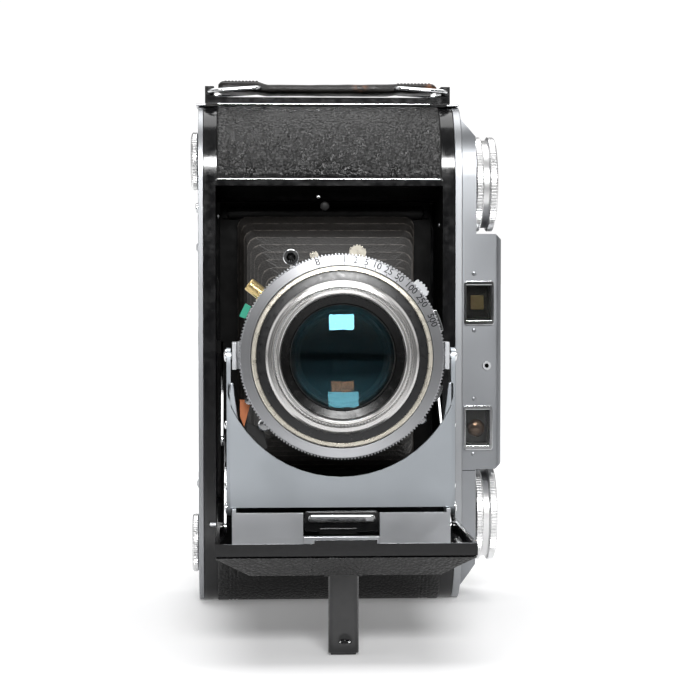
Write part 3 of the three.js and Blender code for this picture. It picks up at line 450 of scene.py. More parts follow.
def prism(bm, outline, low, high):
    """Extrudes an outline of (x, z) points from low to high along y."""
    first = [bm.verts.new((x, low, z)) for x, z in outline]
    second = [bm.verts.new((x, high, z)) for x, z in outline]
    bm.faces.new(first)
    bm.faces.new(second[::-1])
    skin(bm, (first, second))


def skin(bm, rings):
    """Joins each closed ring of vertices to the next."""
    for here, there in zip(rings, rings[1:]):
        for i in range(len(here)):
            j = (i + 1) % len(here)
            bm.faces.new((here[i], here[j], there[j], there[i]))


def turned(name, profile, where, look, body, axis="y", segments=96, **extra):
    """A piece turned about an axis."""
    bm = bmesh.new()
    lathe(bm, profile, where, axis, segments)
    return piece(name, bm, look, body, **extra)


def block(name, bounds, look, body, bevel=0.0):
    """A box as a piece: x, y and z from low to high."""
    bm = bmesh.new()
    box(bm, *bounds)
    return piece(name, bm, look, body, bevel=bevel)


def stud(name, where, radius, height, look, body, axis="y", sign=-1, rim=0.0, angle=32):
    """A domed head as a piece."""
    bm = bmesh.new()
    dome(bm, where, radius, height, axis, sign, rim=rim)
    return piece(name, bm, look, body, angle=angle)


def plate(name, outline, low, high, look, body, **extra):
    """A flat plate that faces the front, as a piece."""
    bm = bmesh.new()
    prism(bm, outline, low, high)
    return piece(name, bm, look, body, **extra)


def arc(centre, radius, start, end, steps):
    """Points on an arc, angles in degrees, both ends included."""
    points = []
    for step in range(steps + 1):
        a = math.radians(start + (end - start) * step / steps)
        points.append((centre[0] + radius * math.cos(a), centre[1] + radius * math.sin(a)))
    return points


def rounded_outline(a0, a1, b0, b1, radius, steps=5):
    return (
        arc((a1 - radius, b0 + radius), radius, -90, 0, steps)
        + arc((a1 - radius, b1 - radius), radius, 0, 90, steps)
        + arc((a0 + radius, b1 - radius), radius, 90, 180, steps)
        + arc((a0 + radius, b0 + radius), radius, 180, 270, steps)
    )


def sheet_grid(name, columns, rows, at, look, body, replaces, thickness, offset=-1, angle=60):
    """A grid of at(column, row) points given a thickness behind it, or in front of it with offset 1."""
    bm = bmesh.new()
    grid = [[bm.verts.new(at(c, r)) for c in columns] for r in rows]
    for i in range(len(rows) - 1):
        for j in range(len(columns) - 1):
            bm.faces.new((grid[i][j], grid[i][j + 1], grid[i + 1][j + 1], grid[i + 1][j]))
    made = put(name, finished(name, bm), look, body, replaces, angle)
    solid = made.modifiers.new("thickness", "SOLIDIFY")
    solid.thickness = thickness * MM
    solid.offset = offset
    return made


def steps(low, high, size):
    count = max(1, round((high - low) / size))
    return [low + (high - low) * i / count for i in range(count + 1)]


def tube(name, points, radius, look, body, closed=False, replaces=()):
    """A wire through the points, as a mesh."""
    curve = bpy.data.curves.new(name + "_path", "CURVE")
    curve.dimensions = "3D"
    curve.bevel_depth = radius * MM
    curve.bevel_resolution = 4
    curve.use_fill_caps = True
    spline = curve.splines.new("POLY")
    spline.points.add(len(points) - 1)
    for point, where in zip(spline.points, points):
        point.co = (*[c * MM for c in where], 1)
    spline.use_cyclic_u = closed
    carrier = bpy.data.objects.new(name + "_carrier", curve)
    bpy.context.scene.collection.objects.link(carrier)
    bpy.context.view_layer.update()
    mesh = bpy.data.meshes.new_from_object(carrier.evaluated_get(bpy.context.evaluated_depsgraph_get()))
    bpy.data.objects.remove(carrier)
    mesh.name = name
    return put(name, mesh, look, body, replaces, 50)


def on_lens(radius, angle, y):
    """A point about the lens axis: angle from +X towards +Z in degrees, y from the tilt axis."""
    a = math.radians(angle)
    return Vector((LENS.x + radius * math.cos(a), LENS.y + y, LENS.z + radius * math.sin(a)))


# ---------- lens ----------
RING_FRONT = -8.2
RING_BACK = -3.6
KNURL_TEETH = 190
RING_INNER, RING_OUTER = 26.6, 29.35  # the face that carries the figures
RING_SLOPE = 0.15  # how far the face falls back towards its rim
FIGURE_SIZE = 2.7
FIGURE_RADIUS, TICK_RADIUS = 28.25, 26.97
SPEEDS = (("B", 104.5), ("1", 88.5), ("2", 82), ("5", 75.5), ("10", 69), ("25", 61.5),
          ("50", 54), ("100", 45), ("250", 35), ("500", 22))


def speed_ring():
    bm = bmesh.new()
    profile = [
        (26.45, RING_BACK),
        (26.45, RING_FRONT + 0.2),
        (RING_INNER, RING_FRONT),
        (RING_OUTER, RING_FRONT + RING_SLOPE),
        (29.5, RING_FRONT + RING_SLOPE + 0.15),
        (29.98, RING_FRONT + RING_SLOPE + 0.3, True),
        (29.98, RING_BACK - 0.3, True),
        (29.6, RING_BACK),
    ]
    lathe(bm, profile, LENS, teeth=KNURL_TEETH, depth=0.5)
    piece("speed_ring_knurled", bm, RING_SATIN, "speed_ring", ["speed_ring"], "satin_metal", angle=24)


def letters(bm, text, size, matrix):
    """Adds flat raised figures to bm; matrix places them, in millimetres."""
    curve = bpy.data.curves.new("figures", "FONT")
    curve.body = text
    curve.size = size
    curve.align_x = "CENTER"
    curve.align_y = "CENTER"
    curve.extrude = 0.02
    curve.resolution_u = 3
    carrier = bpy.data.objects.new("figures", curve)
    bpy.context.scene.collection.objects.link(carrier)
    bpy.context.view_layer.update()
    mesh = bpy.data.meshes.new_from_object(carrier.evaluated_get(bpy.context.evaluated_depsgraph_get()))
    bpy.data.objects.remove(carrier)
    mesh.transform(matrix)
    bm.from_mesh(mesh)
    bpy.data.meshes.remove(mesh)


def on_ring(angle, radius):
    """Places something on the sloping face of the speed ring, upright outwards at an angle."""
    slope = RING_SLOPE / (RING_OUTER - RING_INNER)
    lean = Matrix.Rotation(-math.atan(slope), 4, "X")
    spin = Matrix.Rotation(-math.radians(angle - 90), 4, "Y")
    face = RING_FRONT + slope * (radius - RING_INNER) - 0.01
    return Matrix.Translation(on_lens(radius, angle, face)) @ spin @ lean


def speed_marks():
    bm = bmesh.new()
    upright = Matrix.Rotation(math.radians(90), 4, "X")
    for text, angle in SPEEDS:
        letters(bm, text, FIGURE_SIZE, on_ring(angle, FIGURE_RADIUS) @ upright)
        tick = bmesh.new()
        box(tick, -0.09, 0.09, -0.02, 0.02, -0.32, 0.32)
        tick.transform(on_ring(angle, TICK_RADIUS))
        carrier = bpy.data.meshes.new("tick")
        tick.to_mesh(carrier)
        tick.free()
        bm.from_mesh(carrier)
        bpy.data.meshes.remove(carrier)
    piece("speed_figures", bm, INK, "speed_ring", angle=20)


def barrel_rings():
    def ring(name, profile, look, **extra):
        turned(name, profile, LENS, look, "lens_unit", segments=128, angle=28, **extra)

    base = [(15.4, -3.6), (15.4, -9.2), (22.6, -9.2), (25.4, -8.8), (26.1, -8.4), (26.1, -3.6)]
    cream = [(24.9, -8.7), (24.95, -9.1), (25.2, -9.3), (26.0, -9.2), (26.3, -8.85), (26.3, -8.25)]
    charcoal = [(22.35, -9.0), (22.35, -9.75), (24.2, -9.5), (24.85, -9.3), (24.95, -8.7)]
    bright = [(20.15, -9.0), (20.15, -11.1), (20.5, -11.3), (21.6, -11.0), (22.2, -10.4), (22.35, -9.9)]
    rim = [(17.9, -9.2), (17.9, -12.6), (18.3, -13.7), (18.6, -13.98), (19.1, -13.98), (19.35, -13.6)]
    rim += [(19.4, -13.3), (19.95, -13.1, True), (19.95, -11.2, True), (19.6, -11.0), (19.6, -9.2)]
    name_ring = [(15.3, -9.2), (15.3, -11.2), (15.6, -11.7), (17.7, -12.35), (17.85, -12.3), (17.85, -9.2)]
    edge = [(15.05, -9.0), (15.05, -11.35), (15.25, -11.45), (15.3, -11.3), (15.3, -9.0)]
    ring("barrel_base", base, SATIN, replaces=["lens_barrel"], slot="satin_metal")
    ring("barrel_cream_ring", cream, CREAM)
    ring("barrel_charcoal_ring", charcoal, CHARCOAL)
    ring("barrel_bright_ring", bright + [(22.35, -9.0)], RING_BRIGHT)
    bm = bmesh.new()
    lathe(bm, rim, LENS, teeth=130, depth=0.3)
    piece("filter_rim", bm, RING_BRIGHT, "lens_unit", angle=24)
    ring("name_ring", name_ring, NAME_BLACK)
    ring("name_ring_edge", edge, MATT)


def glass_disc(name, radius, front, back, bulge_front, bulge_back, look, replaces=(), slot=None):
    """A lens element: rims at front and back, each side bulging outwards by its own height."""
    bm = bmesh.new()
    radii = [radius * i / 14 for i in range(15)]
    profile = [(r, front - bulge_front * (1 - (r / radius) ** 2)) for r in radii]
    profile += [(r, back + bulge_back * (1 - (r / radius) ** 2)) for r in radii[::-1]]
    lathe(bm, profile, LENS, segments=96)
    return piece(name, bm, look, "lens_unit", replaces, slot, angle=40)


def lens_glass():
    glass_disc("front_element", 15.0, -10.0, -7.4, 2.5, 0.5, COATED, ["front_glass"], "lens_glass")
    glass_disc("second_element", 11.4, -4.4, -3.4, -1.0, -0.6, INNER_GLASS)
    mount = [(15.35, -3.4), (15.35, -7.2), (13.4, -7.2), (12.6, -5.9), (11.5, -5.6), (11.5, -3.4)]
    turned("element_mount", mount, LENS, MATT, "lens_unit")
    tunnel = [(11.2, -2.9), (13.6, -2.9), (13.6, 3.4), (12.6, 3.4)]
    turned("inner_tunnel", tunnel, LENS, HOLLOW_BLACK_AND_SHADE, "lens_unit", segments=64)
    shutter_blades()


def shutter_blades():
    """Five closed shutter blades, each a thin curved leaf over the next."""
    bm = bmesh.new()
    for i in range(5):
        turn = 72 * i
        outline = arc((0, 0), 12.4, turn, turn + 80, 8) + arc((0, 0), 0.6, turn + 80, turn, 3)
        low = -1.4 + 0.16 * i
        prism(bm, [(LENS.x + a, LENS.z + b) for a, b in outline], LENS.y + low, LENS.y + low + 0.1)
    piece("shutter_blades", bm, plain("blade_steel", (0.02, 0.021, 0.023), 0.4, 0.6), "lens_unit")


def rear_lens():
    dress_all(
        (MATT, 0.2, "rear_cell"),
        (INNER_GLASS, 0.0, "rear_glass"),
        (SATIN, 0.15, "lens_board"),
        (MATT, 0.25, "shutter_case"),
    )
    edge = [(26.2, -3.5), (27.05, -3.5), (27.05, -3.1), (26.2, -3.1)]
    turned("case_front_edge", edge, LENS, SATIN, "lens_unit")


def tab(name, body, node, inner, outer, angle, spread, y0, y1, look, slot, teeth=0, crown=0.0):
    """A tab that sticks out of the shutter; teeth serrate its outer edge."""
    outline = arc((0, 0), inner, angle - spread, angle + spread, 6)
    count = teeth * 4 if teeth else 6
    for step in range(count + 1):
        share = step / count
        a = math.radians(angle + spread - 2 * spread * share)
        r = outer + crown * math.sin(math.pi * share)
        if teeth and step % 4 in (1, 2):
            r += 0.45
        outline.append((r * math.cos(a), r * math.sin(a)))
    bm = bmesh.new()
    prism(bm, [(LENS.x + a, LENS.z + b) for a, b in outline], LENS.y + y0, LENS.y + y1)
    return piece(name, bm, look, body, [node] if node else (), slot, bevel=0.12)


def lens_controls():
    band = [(27.2, -2.9), (28.4, -2.9), (28.4, -1.9), (27.2, -1.9)]
    steel, green, lens = "satin_metal", "green_plastic", "lens_unit"
    turned("aperture_band", band, LENS, SATIN, "aperture_ring", replaces=["aperture_ring"], slot=steel)
    tab("aperture_tab", "aperture_ring", None, 28.2, 31.3, 81, 4.6, -2.9, -1.9, CREAM, steel, 6, 1.3)
    for name, outer, angle, spread, y0, y1, look, teeth, crown in (
        ("cocking", 31.3, 40, 5.0, -1.0, 0.2, SATIN, 5, 0.6),
        ("release", 31.4, -21, 4.6, 1.2, 2.4, CHROME, 0, 0.4),
    ):
        lever = name + "_lever"
        tab(name + "_tab", lever, lever, 23, outer, angle, spread, y0, y1, look, steel, teeth, crown)
    tab("sync_arm", "sync_lever", "sync_lever", 23, 30.6, 155, 3.4, 1.2, 2.4, CHROME, green)
    tab("sync_tip", "sync_lever", None, 29.9, 31.9, 155, 3.8, 1.0, 2.5, GREEN, green)
    tab("depth_marker", lens, None, 27.6, 30.9, 105, 2.3, -2.3, -1.7, CREAM, None, 3, 0.3)
    tab("side_stop", lens, None, 27.0, 30.9, 20, 6.0, -2.6, -1.8, CHROME, None)
    marker = [(-29.6, 72.8), (-26.2, 72.8), (-28.4, 64.8), (-29.6, 68)]
    plate("orange_marker", marker, LENS.y - 0.4, LENS.y + 0.4, ORANGE, lens)
    sockets()
    for name, angle, size in (("lower_left", 222, 1.9), ("lower_right", -38, 1.5), ("left_block", 206, 1.1)):
        head = [(0, 1.6), (size, 1.6), (size, -0.3), (size * 0.8, -0.6), (0, -0.7)]
        where = on_lens(30.2, angle, -0.6)
        turned("shutter_screw_" + name, head, where, CHROME, lens, segments=24, angle=24)
    arm = [(-27.6, 66.2), (-22.8, 64.2), (-21.4, 58.4), (-23.4, 57.8), (-25.4, 61.6), (-28, 63.4)]
    plate("shutter_link", arm, LENS.y - 0.2, LENS.y + 0.7, MATT, lens, bevel=0.2)


def sockets():
    along = Matrix.Rotation(math.radians(-90), 4, "Z")
    for name, node, angle, start, stop, radius, look in (
        ("flash_socket", "sync_socket", 142, 27.3, 34.3, 2.0, BRASS),
        ("cable_socket_stem", None, 117, 27.3, 31.0, 1.3, SATIN),
    ):
        bm = bmesh.new()
        profile = [
            (0, start),
            (radius * 0.8, start),
            (radius * 0.8, start + 1.6),
            (radius, start + 1.8),
            (radius, stop - 0.3),
            (radius - 0.25, stop),
            (radius * 0.62, stop),
            (radius * 0.58, stop - 1.6),
            (radius * 0.3, stop - 1.6),
            (radius * 0.28, stop - 0.5),
            (0, stop - 0.4),
        ]
        lathe(bm, profile, (0, 0, 0), segments=32)
        spin = Matrix.Rotation(-math.radians(angle), 4, "Y")
        depth = 1.0 if node else 0.0
        bm.transform(Matrix.Translation(LENS + Vector((0, depth, 0))) @ spin @ along)
        slot = "brass_metal" if node else None
        piece(name, bm, look, "lens_unit", [node] if node else (), slot, angle=28)
    where = on_lens(32.4, 117, 0)
    collar = [(0, 1.5), (2.0, 1.5), (2.0, -3.2), (2.35, -3.4), (2.35, -4.1), (2.1, -4.4)]
    collar += [(1.35, -4.4), (1.2, -4.1), (1.2, -1.6), (0, -1.2)]
    turned("cable_socket_ring", collar, where, CHROME, "lens_unit", segments=40, replaces=["cable_socket"],
           slot="chrome_metal", angle=28)
    core = [(0.25, -1.7), (0.75, -1.7), (0.75, -3.6), (0.55, -3.8), (0.25, -3.6)]
    turned("cable_socket_core", core, where, MATT, "lens_unit", segments=24)


# ---------- bellows ----------


def bellows():
    """Pleated box between the film gate and the lens board, with folded corners."""
    low, high = limits("bellows")
    rear = Vector((high.x, (high.z - low.z) / 2))
    front = Vector((21.0, 21.0))
    rings = PLEATS * 2 + 1
    bm = bmesh.new()
    outside = []
    for i in range(rings):
        share = i / (rings - 1)
        y = high.y + (low.y - high.y) * share
        half = rear.lerp(front, share)
        valley = i % 2 == 1
        fold = 3.3 if valley else 0.0
        corner = 5.4 if valley else 2.6
        x, z = half.x - fold, half.y - fold
        ring = []
        for sx, sz in ((1, -1), (1, 1), (-1, 1), (-1, -1)):
            along_z = (sx * x, sz * (z - corner))
            along_x = (sx * (x - corner), sz * z)
            pair = (along_z, along_x) if sx == sz else (along_x, along_z)
            tip = (sx * (x - corner * 0.36), sz * (z - corner * 0.36))
            middle_point = tip if not valley else (sx * (x - corner * 0.62), sz * (z - corner * 0.62))
            for a, b in (pair[0], middle_point, pair[1]):
                ring.append((a, y, LENS.z + b))
        outside.append(ring)
    wall = 0.7

    def make(ring, shrink):
        verts = []
        for a, y, c in ring:
            x, z = a, c - LENS.z
            sx = max(abs(x) - shrink, 0.1) * (1 if x >= 0 else -1)
            sz = max(abs(z) - shrink, 0.1) * (1 if z >= 0 else -1)
            verts.append(bm.verts.new((sx, y, LENS.z + sz)))
        return verts

    outer = [make(ring, 0) for ring in outside]
    inner = [make(ring, wall) for ring in outside]
    skin(bm, outer)
    skin(bm, inner)
    skin(bm, (outer[0], inner[0]))
    skin(bm, (outer[-1], inner[-1]))
    bmesh.ops.recalc_face_normals(bm, faces=bm.faces)
    bmesh.ops.bevel(
        bm,
        geom=[e for e in bm.edges if e.is_manifold and e.calc_face_angle(0) > math.radians(28)],
        offset=0.3,
        segments=2,
        affect="EDGES",
        clamp_overlap=True,
    )
    made = piece("bellows_pleated", bm, BELLOWS, "camera_body", ["bellows"], "bellows_leather", angle=55)
    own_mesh(made)


# ---------- body ----------
END_HALF_Y, END_HALF_Z = 17.0, 24.0  # half axes of the body's round front at both ends
LEATHER_GROW = 0.75
LEATHER_EDGE = 141.0  # where the upper leather starts, above the bright edge of the opening
LEATHER_TURN = 75  # degrees it follows the round front


def end_path(upward):
    """Rows up the front and over the round end: distance along, y, z and the outward normal."""
    centre_y = BODY_LOW.y + END_HALF_Y
    half_y, half_z = END_HALF_Y + LEATHER_GROW, END_HALF_Z + LEATHER_GROW
    centre_z = BODY_HIGH.z - END_HALF_Z if upward else END_HALF_Z
    sign = 1 if upward else -1
    rows = []
    travelled = 0.0
    last = None
    flat = steps(LEATHER_EDGE, centre_z, 0.7) if upward else []
    for z in flat[:-1]:
        rows.append((BODY_LOW.y - LEATHER_GROW, z, -1.0, 0.0))
    count = 52
    for i in range(count + 1):
        a = math.radians(LEATHER_TURN * i / count)
        slope = Vector((math.cos(a) / half_y, math.sin(a) / half_z)).normalized()
        y = centre_y - half_y * math.cos(a)
        z = centre_z + sign * half_z * math.sin(a)
        rows.append((y, z, -slope.x, sign * slope.y))
    path = []
    for row in rows:
        if last:
            travelled += math.hypot(row[0] - last[0], row[1] - last[1])
        last = row
        path.append((travelled, *row))
    return path


def leather_panel(name, node, upward):
    """Pressed leather that follows the front and wraps round the body's end, with embossed line pairs."""
    half = limits(node)[1].x
    path = end_path(upward)
    total = path[-1][0]
    lines = ((31.1, 0.42), (32.1, 0.3), (33.3, 0.42)) if upward else ((30.6, 0.4), (31.8, 0.4), (33.0, 0.4))

    def at(x, row):
        s, y, z, normal_y, normal_z = row
        edge = min(half - abs(x), s, total - s)
        drop = 0.42 * max(0.0, 1 - edge / 0.7) ** 2
        for line, width in lines:
            drop += 0.24 * max(0.0, 1 - abs(abs(x) - line) / width)
        return (x, y - drop * normal_y, z - drop * normal_z)

    columns = steps(-half, half, 0.35)
    offset = -1 if upward else 1
    sheet_grid(name, columns, path, at, LEATHER, "camera_body", [node], 0.5, offset)


def cavity_faces():
    """The casting's hollow gets a dull black, darker than the matt black paint: its real black finish with
    painted shade on top; its outside keeps the enamel.
    """
    made = dress("body_casting", ENAMEL, 0.45)
    made.data.materials.append(HOLLOW_BLACK_AND_SHADE)
    for polygon in made.data.polygons:
        x, y, z = polygon.center / MM
        over = max(0.0, z - (BODY_HIGH.z - END_HALF_Z), END_HALF_Z - z) / END_HALF_Z
        ahead = max(0.0, BODY_LOW.y + END_HALF_Y - y) / END_HALF_Y
        if abs(x) < 37.32 and y > BODY_LOW.y + 0.3 and over**2 + ahead**2 < 0.93:
            polygon.material_index = 1


def opening_trim():
    """The bright edge above the opening, with the latch stud and catch below it and a rivet on each side
    wall.
    """
    high = 140.35
    bend = arc((36.2, high - 1.0), 1.0, 90, 25, 5)
    points = [(-x, -20.2, z) for x, z in bend[::-1]] + [(x, -20.2, z) for x, z in bend]
    tube("opening_edge", points, 0.26, CHROME, "camera_body")
    stud("latch_stud", (-3.6, -18.9, 134.6), 0.7, 0.6, CHROME, "camera_body")
    stud("latch_catch", (-1.4, -16.5, 131.6), 1.5, 0.5, MATT, "camera_body")
    stud("wall_rivet_left", (-36.6, -15.5, 128.2), 0.8, 0.5, SATIN, "camera_body", "x", 1)
    stud("wall_rivet_right", (36.6, -15.5, 125.4), 0.8, 0.5, SATIN, "camera_body", "x", -1)


LUG_X, LUG_Z = 39.3, 169.8  # the axis on which a wire loop turns
LOOP_RISE = math.radians(4)
LOOP_REACH = 16.7
WIRE = 0.72


def end_fittings():
    dress("end_plate", SATIN, 0.25)
    dress("strap_plate", ENAMEL, 0.6)
    block("end_plate_cover", (-40.6, 39.9, -6.8, -6.4, 164.9, 165.95), ENAMEL, "camera_body", 0.1)
    tube("end_plate_line", [(-36.6, -6.95, 165.75), (34.2, -6.95, 165.75)], 0.24, CHROME, "camera_body")
    for name, x in (("left", -LUG_X), ("right", LUG_X)):
        bm = bmesh.new()
        for y, sign in ((-7.35, -1), (11.35, 1)):
            dome(bm, (x, y, LUG_Z), 1.3, 0.5, "y", sign)
        piece("lug_pins_" + name, bm, ENAMEL, "camera_body")


def strap_loops():
    """Bent wire loops, each with rounded corners, that hold the strap's ends."""
    for side, name in ((-1, "left"), (1, "right")):
        low, high = limits("strap_loop_" + name)
        points = []
        for along, y in rounded_outline(0, LOOP_REACH, low.y + WIRE, high.y - WIRE, 1.8, 6):
            x = side * (LUG_X - along * math.cos(LOOP_RISE))
            points.append((x, y, LUG_Z + along * math.sin(LOOP_RISE)))
        node = "strap_loop_" + name
        tube("wire_loop_" + name, points, WIRE, CHROME, node, True, [node])


def smooth(value, low, high):
    """0 at low, 1 at high, eased in between; low may be the larger."""
    t = min(1.0, max(0.0, (value - low) / (high - low)))
    return t * t * (3 - 2 * t)


def strap():
    """A thick leather strap whose folded and stitched ends hold the wire loops."""
    low, high = limits("carrying_strap")
    half_length = high.x
    centre_y = (low.y + high.y) / 2
    thickness = 3.3

    def section(x):
        """Bottom, top and half width at x, and how far the leather is folded double there."""
        fold_left = smooth(x, -19.5, -24.0)
        fold_right = smooth(x, 19.5, 25.0)
        end = max(0.0, abs(x) - half_length + 1.7) / 1.7
        bottom = low.z + 0.1 + 0.45 * max(fold_left, fold_right) + 0.7 * end**2
        top = low.z + thickness + 0.9 * fold_left + 0.25 * fold_right
        top -= 0.25 * smooth(x, 30, -18) * (1 - fold_left)
        top -= 1.1 * end**2
        width = 9.0 - 0.35 * max(fold_left, fold_right) - 0.9 * end**2
        return bottom, top, width, max(fold_left, fold_right)

    bm = bmesh.new()
    rings = []
    around = 36
    for x in steps(-half_length, half_length, 0.7):
        bottom, top, width, folded = section(x)
        ring = []
        for i in range(around):
            a = 2 * math.pi * i / around
            c, s = math.cos(a), math.sin(a)
            crease = 0.45 * folded * max(0.0, 1 - abs(s) / 0.3)
            y = centre_y + (width - crease) * math.copysign(abs(c) ** 0.3, c)
            z = (bottom + top) / 2 + (top - bottom) / 2 * math.copysign(abs(s) ** 0.62, s)
            dent = 0.13 * noise.noise(Vector((x * 0.16, y * 0.22, 1.7)))
            pinch = 0.16 if 7.2 < abs(y - centre_y) < 7.8 and s > 0 else 0.0
            ring.append(bm.verts.new((x, y, z + dent - pinch)))
        rings.append(ring)
    skin(bm, rings)
    bm.faces.new(rings[0])
    bm.faces.new(rings[-1])
    piece("leather_strap", bm, STRAP, "strap", ["carrying_strap"], "strap_leather", angle=50)
    thread = bmesh.new()
    for side in (-1, 1):
        for row in (-7.1, 7.1):
            for i in range(10):
                x, y = side * (23.6 + 1.15 * i), centre_y + row
                z = section(x)[1]
                box(thread, x - 0.36, x + 0.36, y - 0.12, y + 0.12, z - 0.2, z + 0.06)
    piece("strap_stitches", thread, plain("strap_thread", (0.03, 0.026, 0.022), 0.7), "strap", bevel=0.04)


# ---------- housing, knobs and plates ----------
def screw(name, where, radius, look, body, axis="y", sign=-1, slot_angle=20):
    """A domed screw head with a narrow slot."""
    height = radius * 0.42
    stud(name, where, radius, height, look, body, axis, sign, radius * 0.15, 24)
    groove = bmesh.new()
    length = radius * 0.78
    box(groove, -length, length, -0.04, 0.04, -0.06, 0.06)
    if axis == "y":
        turn = Matrix.Rotation(math.radians(slot_angle), 4, "Y")
        shift = Vector((0, sign * height, 0))
    else:
        turn = Matrix.Rotation(math.radians(slot_angle), 4, "X") @ Matrix.Rotation(math.radians(90), 4, "Z")
        shift = Vector((sign * height, 0, 0))
    groove.transform(Matrix.Translation(Vector(where) + shift) @ turn)
    piece(name + "_slot", groove, INK, body)


def housing():
    dress("top_housing", SHADED_HOUSING_METAL, 0.55)
    front = HOUSING_LOW.y
    for i, (x, z) in enumerate(((47.8, 109.4), (47.8, 90.7), (47.9, 68.1), (47.7, 49.7))):
        name = "housing_screw_" + str(i + 1)
        screw(name, (x, front, z), 0.75, SHADED_HOUSING_METAL, "camera_body", slot_angle=25 + 40 * i)
    plug = [(0, 0), (1.5, 0), (1.5, -0.25), (1.3, -0.4), (0, -0.4)]
    hub = [(0, 0), (0.7, 0), (0.7, -0.55), (0, -0.55)]
    turned("adjuster_plug", plug, (52, front, 79), SATIN, "camera_body", segments=32, angle=24)
    turned("adjuster_screw", hub, (52, front, 79), INK, "camera_body", segments=24)
    seam = (HOUSING_LOW.x + 0.05, 48.2, front - 0.04, front + 0.4, 44.2, 44.4)
    block("housing_seam", seam, INK, "camera_body")
    windows()


def windows():
    dress_all(
        (CHROME, 0.2, "viewfinder_frame", "rangefinder_frame"),
        (CLEAR, 0.0, "viewfinder_glass", "rangefinder_glass"),
        (MATT, 0.3, "eyepiece"),
        (plain("prism_brown", (0.10, 0.045, 0.02), 0.12), 0.1, "rangefinder_prism"),
    )
    for name, depth in (("viewfinder", 6), ("rangefinder", 5)):
        low, high = limits(name + "_glass")
        bm = bmesh.new()
        y0, y1 = high.y + 0.1, high.y + depth
        wall = 0.35
        box(bm, low.x, low.x + wall, y0, y1, low.z, high.z)
        box(bm, high.x - wall, high.x, y0, y1, low.z, high.z)
        box(bm, low.x, high.x, y0, y1, low.z, low.z + wall)
        box(bm, low.x, high.x, y0, y1, high.z - wall, high.z)
        box(bm, low.x, high.x, y1, y1 + wall, low.z, high.z)
        grey = plain(name + "_well_grey", (0.014, 0.0125, 0.011), 0.4)
        piece(name + "_well", bm, grey, "camera_body")
    high = limits("viewfinder_glass")[1]
    centre = middle("viewfinder_glass")
    outline = rounded_outline(centre.x - 2.2, centre.x + 2.2, centre.z - 2.4, centre.z + 2.4, 0.4)
    warm = plain("finder_warm", (0.34, 0.25, 0.13), 0.12, 0.4)
    plate("viewfinder_inner_lens", outline, high.y + 3.6, high.y + 4.2, warm, "camera_body", bevel=0.2)
    high = limits("rangefinder_glass")[1]
    centre = middle("rangefinder_glass")
    where = (centre.x, high.y + 4.6, centre.z - 0.6)
    brown = plain("prism_lens_brown", (0.12, 0.06, 0.03), 0.06, 0.5)
    stud("rangefinder_inner_lens", where, 3.0, 1.2, brown, "camera_body", angle=40)


def knob(node, centre):
    """Two knurled discs with a plain groove between them and a raised cap."""
    low, high = limits(node)
    base = 49.0  # where the lower disc starts
    radius = (high.z - low.z) / 2
    middle_z = (high.z + low.z) / 2
    crest, waist = radius - 0.5, radius - 1.15
    profile = [(0, 0), (radius - 0.9, 0), (crest, 0.15), (radius, 0.45, True), (radius, 2.15, True)]
    profile += [(crest, 2.5), (waist, 2.75), (waist, 4.45), (crest, 4.75), (radius, 5.05, True)]
    profile += [(radius, 6.75, True), (crest, 7.1), (radius - 1.4, 7.38), (radius - 2.4, 7.4)]
    profile += [(radius - 2.8, 7.1), (5.4, 7.0), (5.2, 7.35), (0, 7.4)]
    where = (base, centre.y, middle_z)
    bm = bmesh.new()
    lathe(bm, profile, where, "x", teeth=96, depth=0.32)
    lathe(bm, [(0, low.x - base), (2.4, low.x - base), (2.4, 0.05), (0, 0.05)], where, "x", segments=24)
    piece(node + "_knurled", bm, KNOB_METAL, node, [node], "satin_metal", angle=24)


def pull_knob(node):
    """A film spool's pull-out pin with a milled button."""
    low, high = limits(node)
    centre = (low + high) / 2
    radius = (high.z - low.z) / 2
    base = -43.3  # where the button starts
    where = (base, centre.y, centre.z)
    profile = [(0, 0), (radius - 0.5, 0), (radius, -0.35, True), (radius, -1.5, True), (radius - 0.45, -2.0)]
    profile += [(radius - 1.8, -2.3), (radius - 2.2, -2.15), (4.2, -2.1), (3.8, -1.6), (0, -1.6)]
    bm = bmesh.new()
    lathe(bm, profile, where, "x", teeth=60, depth=0.3)
    stem = high.x - base
    lathe(bm, [(0, -0.05), (3.0, -0.05), (3.0, stem), (0, stem)], where, "x", segments=24)
    piece(node + "_knurled", bm, KNOB_METAL, node, [node], "satin_metal", angle=24)


def side_fittings():
    dress_all(
        (SHADED_END_METAL, 0.5, "bottom_plate", "top_flange_plate"),
        (CHROME, 0.15, "tripod_bush"),
        (CHROME, 0.3, "door_release_button"),
    )
    knob("wind_knob", WIND)
    knob("focus_knob", FOCUS)
    pull_knob("spool_pin_upper")
    pull_knob("spool_pin_lower")
    for i, (y, z) in enumerate(((-14, 40), (-14, 118), (15, 40), (15, 128))):
        name = "plate_screw_" + str(i + 1)
        screw(name, (-43.0, y, z), 1.4, SATIN_PLATE, "camera_body", "x", -1, 30 + 35 * i)


def inside_parts():
    dress_all(
        (HOLLOW_BLACK_AND_SHADE, 0.15, "film_gate"),
        (MATT, 0.0, "gate_roller_upper", "gate_roller_lower"),
        (MATT, 0.2, "take_up_spool"),
        (SATIN, 0.1, "take_up_key"),
        (SATIN, 0.0, "front_hinge_pin", "back_hinge_pin"),
    )


